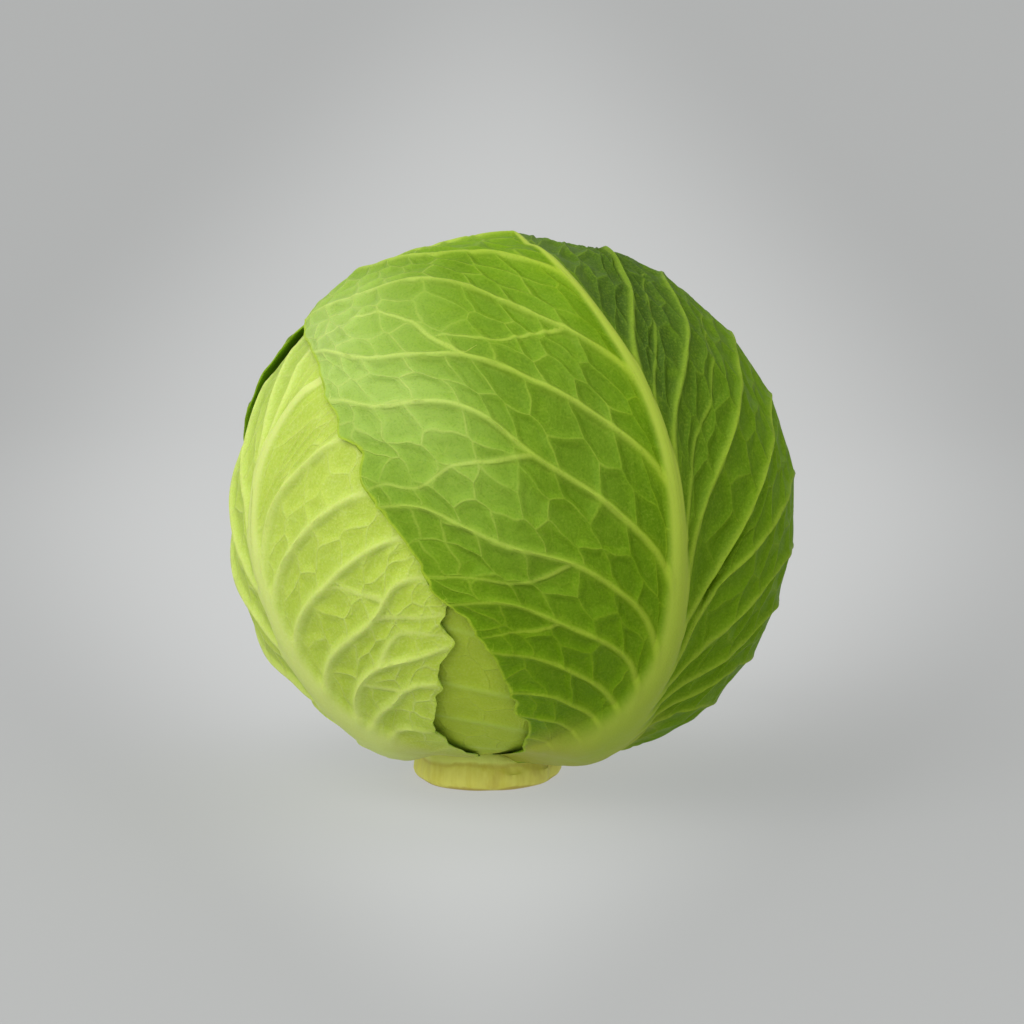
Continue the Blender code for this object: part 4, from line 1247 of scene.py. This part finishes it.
# The cut stem. A wave is its size, how many go round, and how far it is turned.
stemForm = {
    # its side, as shares of the radius and of the height
    "side": ((0.88, 0.0), (0.93, 0.02), (0.965, 0.1), (0.985, 0.22), (1.0, 0.4), (0.995, 0.56),
             (0.985, 0.72), (0.975, 0.86), (0.96, 0.97)),
    # the lip, as shares of the radius and of the way from there to its top
    "lip": ((0.94, 0.12), (0.92, 0.35), (0.895, 0.62), (0.86, 0.86), (0.82, 1.0)),
    "neck": ((0.98, 0.5), (0.95, 1.6)),     # shares of the neck's radius, mm above the lip
    "neckEnd": 0.93,
    "rounds": ((0.014, 3.0, 1.0), (0.011, 5.0, 0.0)),
    "ripples": (0.007, 11.0, 2.2),
    "rippleDrift": (0.5, 4.0, 0.0),
    "sideFrom": (0.0, 2.0),                 # mm up, where the torn fibres of the side begin
    "sideUntil": (8.0, 10.5),
    "broken": ((1.0, 3.0, 0.4), (1.0, 2.0, 1.7)),       # where they are coarse
    "coarseFibres": (0.009, 17.0, 0.8),     # turned so far for each mm up
    "fineFibres": (0.007, 29.0, 0.3),
    "notch": (0.06, 0.09),                  # its depth and width
    "notchFades": (5.0, 8.0),
    "lipFrom": (4.5, 6.5),
    "lipUntil": (11.0, 13.0),
    "lipWaves": ((0.45, 7.0, 0.6), (0.3, 12.0, 0.0)),   # in mm
    "sharpAngle": 50.0,
}


def wave(around, size, count, turn):
    return size * math.sin(count * around + turn)


def stemProfile():
    radius, height, lipTop = stemShape["radius"], stemShape["height"], stemShape["lipTop"]
    neck = stemShape["neckRadius"]
    return ([(share * radius, up * height) for share, up in stemForm["side"]]
            + [(share * radius, height + up * (lipTop - height)) for share, up in stemForm["lip"]]
            + [(share * neck, lipTop + up) for share, up in stemForm["neck"]]
            + [(stemForm["neckEnd"] * neck, stemShape["neckTop"])])


def stemUnevenness(around, up):     # shares of the radius
    form = stemForm
    uneven = 1.0 + sum(wave(around, *each) for each in form["rounds"])
    size, count, turn = form["ripples"]
    uneven += wave(around, size, count, turn + wave(around, *form["rippleDrift"]))
    side = smoothStep(*form["sideFrom"], up) * (1.0 - smoothStep(*form["sideUntil"], up))
    first, second = form["broken"]
    broken = 0.5 + 0.5 * wave(around, *first) * wave(around, *second)
    for share, (size, count, lean) in ((broken, form["coarseFibres"]),
                                       (1.0 - broken, form["fineFibres"])):
        uneven += side * share * wave(around, size, count, lean * up)
    depth, width = form["notch"]
    notch = depth * math.exp(-((around - stemShape["notchAt"]) / width) ** 2)
    return uneven - side * notch * (1.0 - 0.5 * smoothStep(*form["notchFades"], up))


def buildStem():
    form = stemForm
    mesh = bmesh.new()
    corners = [mesh.verts.new((across * mm, 0.0, up * mm)) for across, up in stemProfile()]
    for lower, upper in zip(corners, corners[1:]):
        mesh.edges.new((lower, upper))
    bmesh.ops.spin(mesh, geom=list(mesh.verts) + list(mesh.edges), cent=(0.0, 0.0, 0.0),
                   axis=(0.0, 0.0, 1.0), angle=2.0 * math.pi, steps=stemShape["segments"],
                   use_merge=True)
    bmesh.ops.holes_fill(mesh, edges=mesh.edges)
    for vert in mesh.verts:
        around = math.atan2(vert.co.y, vert.co.x)
        up = vert.co.z / mm
        uneven = stemUnevenness(around, up)
        vert.co.x *= uneven
        vert.co.y *= uneven
        lip = smoothStep(*form["lipFrom"], up) * (1.0 - smoothStep(*form["lipUntil"], up))
        vert.co.z += lip * mm * sum(wave(around, *each) for each in form["lipWaves"])
        vert.co.z -= lip * stemShape["lipTilt"] * vert.co.x
    bmesh.ops.recalc_face_normals(mesh, faces=mesh.faces)
    data = bpy.data.meshes.new("stemFine")
    mesh.to_mesh(data)
    mesh.free()
    data.shade_smooth()
    data.set_sharp_from_angle(angle=math.radians(form["sharpAngle"]))
    piece = bpy.data.objects.new("stemPiece", data)
    bpy.context.scene.collection.objects.link(piece)
    return piece


# Ramps as in the leaves' pattern, going by the height in m where nothing else is said.
stemLook = {
    "flesh": (0.68, 0.64, 0.08),
    "fleshPale": (0.76, 0.74, 0.14),
    "lip": (0.86, 0.92, 0.24),
    "brown": (0.45, 0.33, 0.05),
    "roughness": (0.5, 0.7),
    "fibres": (1.0, 1.0, 0.2),      # scales that make the streaks five times as long upwards
    "streaks": (300.0, 5.0, 0.6),
    "patches": (90.0, 4.0, 0.55),
    "paleStreaks": (0.35, 0.65),    # by the streaks
    "waver": 0.004,                 # m that the heights wander
    "lipHeights": (0.0072, 0.0084),
    "topRimFrom": (0.0064, 0.0071),
    "topRimUntil": (0.0074, 0.0082, 0.22, 0.0),
    "lowRim": (0.0003, 0.0011, 0.75, 0.0),
    "brownPatches": (0.52, 0.7),    # by the patches
    "brownUntil": (0.0075, 0.009, 0.35, 0.0),
    "glossStreaks": (0.3, 0.7),     # by the streaks
    "bump": (0.5, 0.0005),
    "subsurface": {"Subsurface Weight": 0.15, "Subsurface Radius": (1.0, 0.8, 0.3),
                   "Subsurface Scale": 0.003},
}


def stemMaterial():
    look = stemLook
    material, tree, shader = newMaterial("stemSkin")
    coordinate = objectPlace(tree)
    fibre = addNode(tree, "ShaderNodeMapping")
    setInputs(fibre, {"Scale": look["fibres"]})
    tree.links.new(coordinate, fibre.inputs["Vector"])
    streaks = noise(tree, fibre.outputs["Vector"], *look["streaks"])
    patches = noise(tree, coordinate, *look["patches"])
    uneven = product(tree, arithmetic(tree, "SUBTRACT", patches, 0.5), look["waver"])
    wavy = arithmetic(tree, "ADD", separated(tree, coordinate)["Z"], uneven)
    colour = blendColours(tree, steps(tree, streaks, *look["paleStreaks"]), look["flesh"],
                          look["fleshPale"])
    colour = blendColours(tree, steps(tree, wavy, *look["lipHeights"]), colour, look["lip"])
    topRim = product(tree, steps(tree, wavy, *look["topRimFrom"]),
                     steps(tree, wavy, *look["topRimUntil"]))
    browned = product(tree, steps(tree, patches, *look["brownPatches"]),
                      steps(tree, wavy, *look["brownUntil"]))
    for rim in (topRim, steps(tree, wavy, *look["lowRim"])):
        browned = arithmetic(tree, "MAXIMUM", browned, rim)
    colour = blendColours(tree, browned, colour, look["brown"])
    tree.links.new(colour, shader.inputs["Base Color"])
    gloss = steps(tree, streaks, *look["glossStreaks"], *look["roughness"])
    tree.links.new(gloss, shader.inputs["Roughness"])
    setInputs(shader, look["subsurface"])
    addBump(tree, shader, streaks, *look["bump"])
    return material


stemPiece = buildStem()
stemPiece.data.materials.append(stemMaterial())
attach(stemPiece, "root")
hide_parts("stem")
print("stem done")


heartLook = {
    "broad": 30.0,
    "fine": 220.0,
    "dark": (0.36, 0.52, 0.09),
    "pale": (0.46, 0.6, 0.16),
    "paleFrom": (0.35, 0.65),
    "roughness": (0.3, 0.7, 0.4, 0.55),
    "bump": (0.3, 0.0005),
}


def heartMaterial():
    look = heartLook
    material, tree, shader = newMaterial("heartSkin")
    coordinate = objectPlace(tree)
    broad = noise(tree, coordinate, look["broad"])
    fine = noise(tree, coordinate, look["fine"])
    colour = blendColours(tree, steps(tree, broad, *look["paleFrom"]), look["dark"], look["pale"])
    tree.links.new(colour, shader.inputs["Base Color"])
    tree.links.new(steps(tree, fine, *look["roughness"]), shader.inputs["Roughness"])
    addBump(tree, shader, fine, *look["bump"])
    return material


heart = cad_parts["heart"]
for slot in heart.material_slots:
    slot.material = heartMaterial()
print("heart dressed")

# Studio: a pale sweep, soft lights and the camera. Sizes in m where nothing else is said.
studio = {
    "lens": 85.0,
    "sensor": 36.0,
    "cameraHeight": 8.0,            # degrees above the head's middle
    "cameraDistance": 707.0,        # mm
    "aimBelow": 1.4525,             # mm that the aim lies under the head's middle
    "sweepReach": 12.0,             # to the left, to the right and to the front
    "sweepBack": 1.0,               # where the floor starts to bend up,
    "sweepBend": 0.8,               # with this radius,
    "sweepSteps": 12,               # in so many steps
    "sweepTop": 4.0,
    "sweepColour": (0.2, 0.203, 0.203),
    "sweepGlow": (0.43, 0.435, 0.432),      # the paper is lit from behind as well,
    "glowFrom": (0.7, 0.18, 0.144),         # the paper glows with a painted pool of light, as if lit from behind, measured from a point so far before it and so high, aimed down
    "glowFade": (0.155, 0.3, 0.96, 0.62),   # fading aside and up: from, to (rise), full, faded
    "glowSoftness": 0.04,
    "paper": {"Roughness": 0.9, "Specular IOR Level": 0.1},
    "airColour": (0.99, 1.0, 0.985),
    "worldStrength": 0.7,
    # each light's place, aim (the head's middle where there is none), size across and power
    "lights": {
        "key": ((-0.6, -0.75, 0.8), None, 1.3, 9.3),
        "fill": ((0.9, -0.9, 0.4), None, 1.2, 0.5),
        "backdropLight": ((0.0, 0.2, 1.4), (0.0, 1.6, 0.3), 1.2, 4.5),
    },
}


def sweepMaterial():
    material, tree, shader = newMaterial("sweepPaper")
    setInputs(shader, {"Base Color": (*studio["sweepColour"], 1.0),
                       "Emission Color": (*studio["sweepGlow"], 1.0), **studio["paper"]})
    place = separated(tree, objectPlace(tree))
    before, above, down = studio["glowFrom"]
    away = arithmetic(tree, "MAXIMUM", arithmetic(tree, "ADD", place["Y"], before), 0.1)
    aside = arithmetic(tree, "DIVIDE", place["X"], away)
    drop = arithmetic(tree, "DIVIDE", arithmetic(tree, "SUBTRACT", above, place["Z"]), away)
    spans = []
    for part in (aside, arithmetic(tree, "SUBTRACT", drop, down)):
        square = arithmetic(tree, "ADD", product(tree, part, part), studio["glowSoftness"] ** 2)
        spans.append(arithmetic(tree, "SQRT", square))
    # Painted pool of light: the glow fades aside and up from the middle behind the head
    glow = steps(tree, arithmetic(tree, "ADD", *spans), *studio["glowFade"])
    tree.links.new(glow, shader.inputs["Emission Strength"])
    return material


def buildSweep():
    reach, back, bend = studio["sweepReach"], studio["sweepBack"], studio["sweepBend"]
    line = [(-reach, 0.0), (back, 0.0)]         # depths and heights
    for step in range(1, studio["sweepSteps"] + 1):
        turn = math.radians(90.0 * step / studio["sweepSteps"])
        line.append((back + bend * math.sin(turn), bend - bend * math.cos(turn)))
    line.append((back + bend, studio["sweepTop"]))
    mesh = bmesh.new()
    corners = [mesh.verts.new((-reach, depth, up)) for depth, up in line]
    edges = [mesh.edges.new(pair) for pair in zip(corners, corners[1:])]
    wide = bmesh.ops.extrude_edge_only(mesh, edges=edges)["geom"]
    moved = [item for item in wide if isinstance(item, bmesh.types.BMVert)]
    bmesh.ops.translate(mesh, verts=moved, vec=(2.0 * reach, 0.0, 0.0))
    bmesh.ops.recalc_face_normals(mesh, faces=mesh.faces)
    data = bpy.data.meshes.new("sweep")
    mesh.to_mesh(data)
    mesh.free()
    data.shade_smooth()
    sweep = bpy.data.objects.new("sweep", data)
    bpy.context.scene.collection.objects.link(sweep)
    data.materials.append(sweepMaterial())


def addLight(name, place, aim, size, power):
    light = bpy.data.lights.new(name, "AREA")
    light.shape = "DISK"
    light.size = size
    light.energy = power
    holder = bpy.data.objects.new(name, light)
    bpy.context.scene.collection.objects.link(holder)
    holder.location = place
    holder.rotation_euler = (Vector(aim) - Vector(place)).to_track_quat("-Z", "Y").to_euler()


def addCamera(middle):
    tilt = math.radians(studio["cameraHeight"])
    ahead = Vector((0.0, math.cos(tilt), -math.sin(tilt)))
    upward = Vector((0.0, math.sin(tilt), math.cos(tilt)))
    aim = middle - upward * studio["aimBelow"] * mm
    data = bpy.data.cameras.new("camera")
    data.lens = studio["lens"]
    data.sensor_width = studio["sensor"]
    camera = bpy.data.objects.new("camera", data)
    bpy.context.scene.collection.objects.link(camera)
    camera.location = aim - ahead * studio["cameraDistance"] * mm
    camera.rotation_euler = ahead.to_track_quat("-Z", "Y").to_euler()
    bpy.context.scene.camera = camera


def buildStudio():
    buildSweep()
    world = bpy.data.worlds.new("studioAir")
    world.use_nodes = True
    setInputs(world.node_tree.nodes["Background"], {"Color": (*studio["airColour"], 1.0),
                                                    "Strength": studio["worldStrength"]})
    bpy.context.scene.world = world
    middle = Vector(head["centre"]) * mm
    for name, (place, aim, size, power) in studio["lights"].items():
        addLight(name, place, aim or middle, size, power)
    addCamera(middle)
    bpy.context.scene.view_settings.view_transform = "Standard"


buildStudio()
print("studio done")
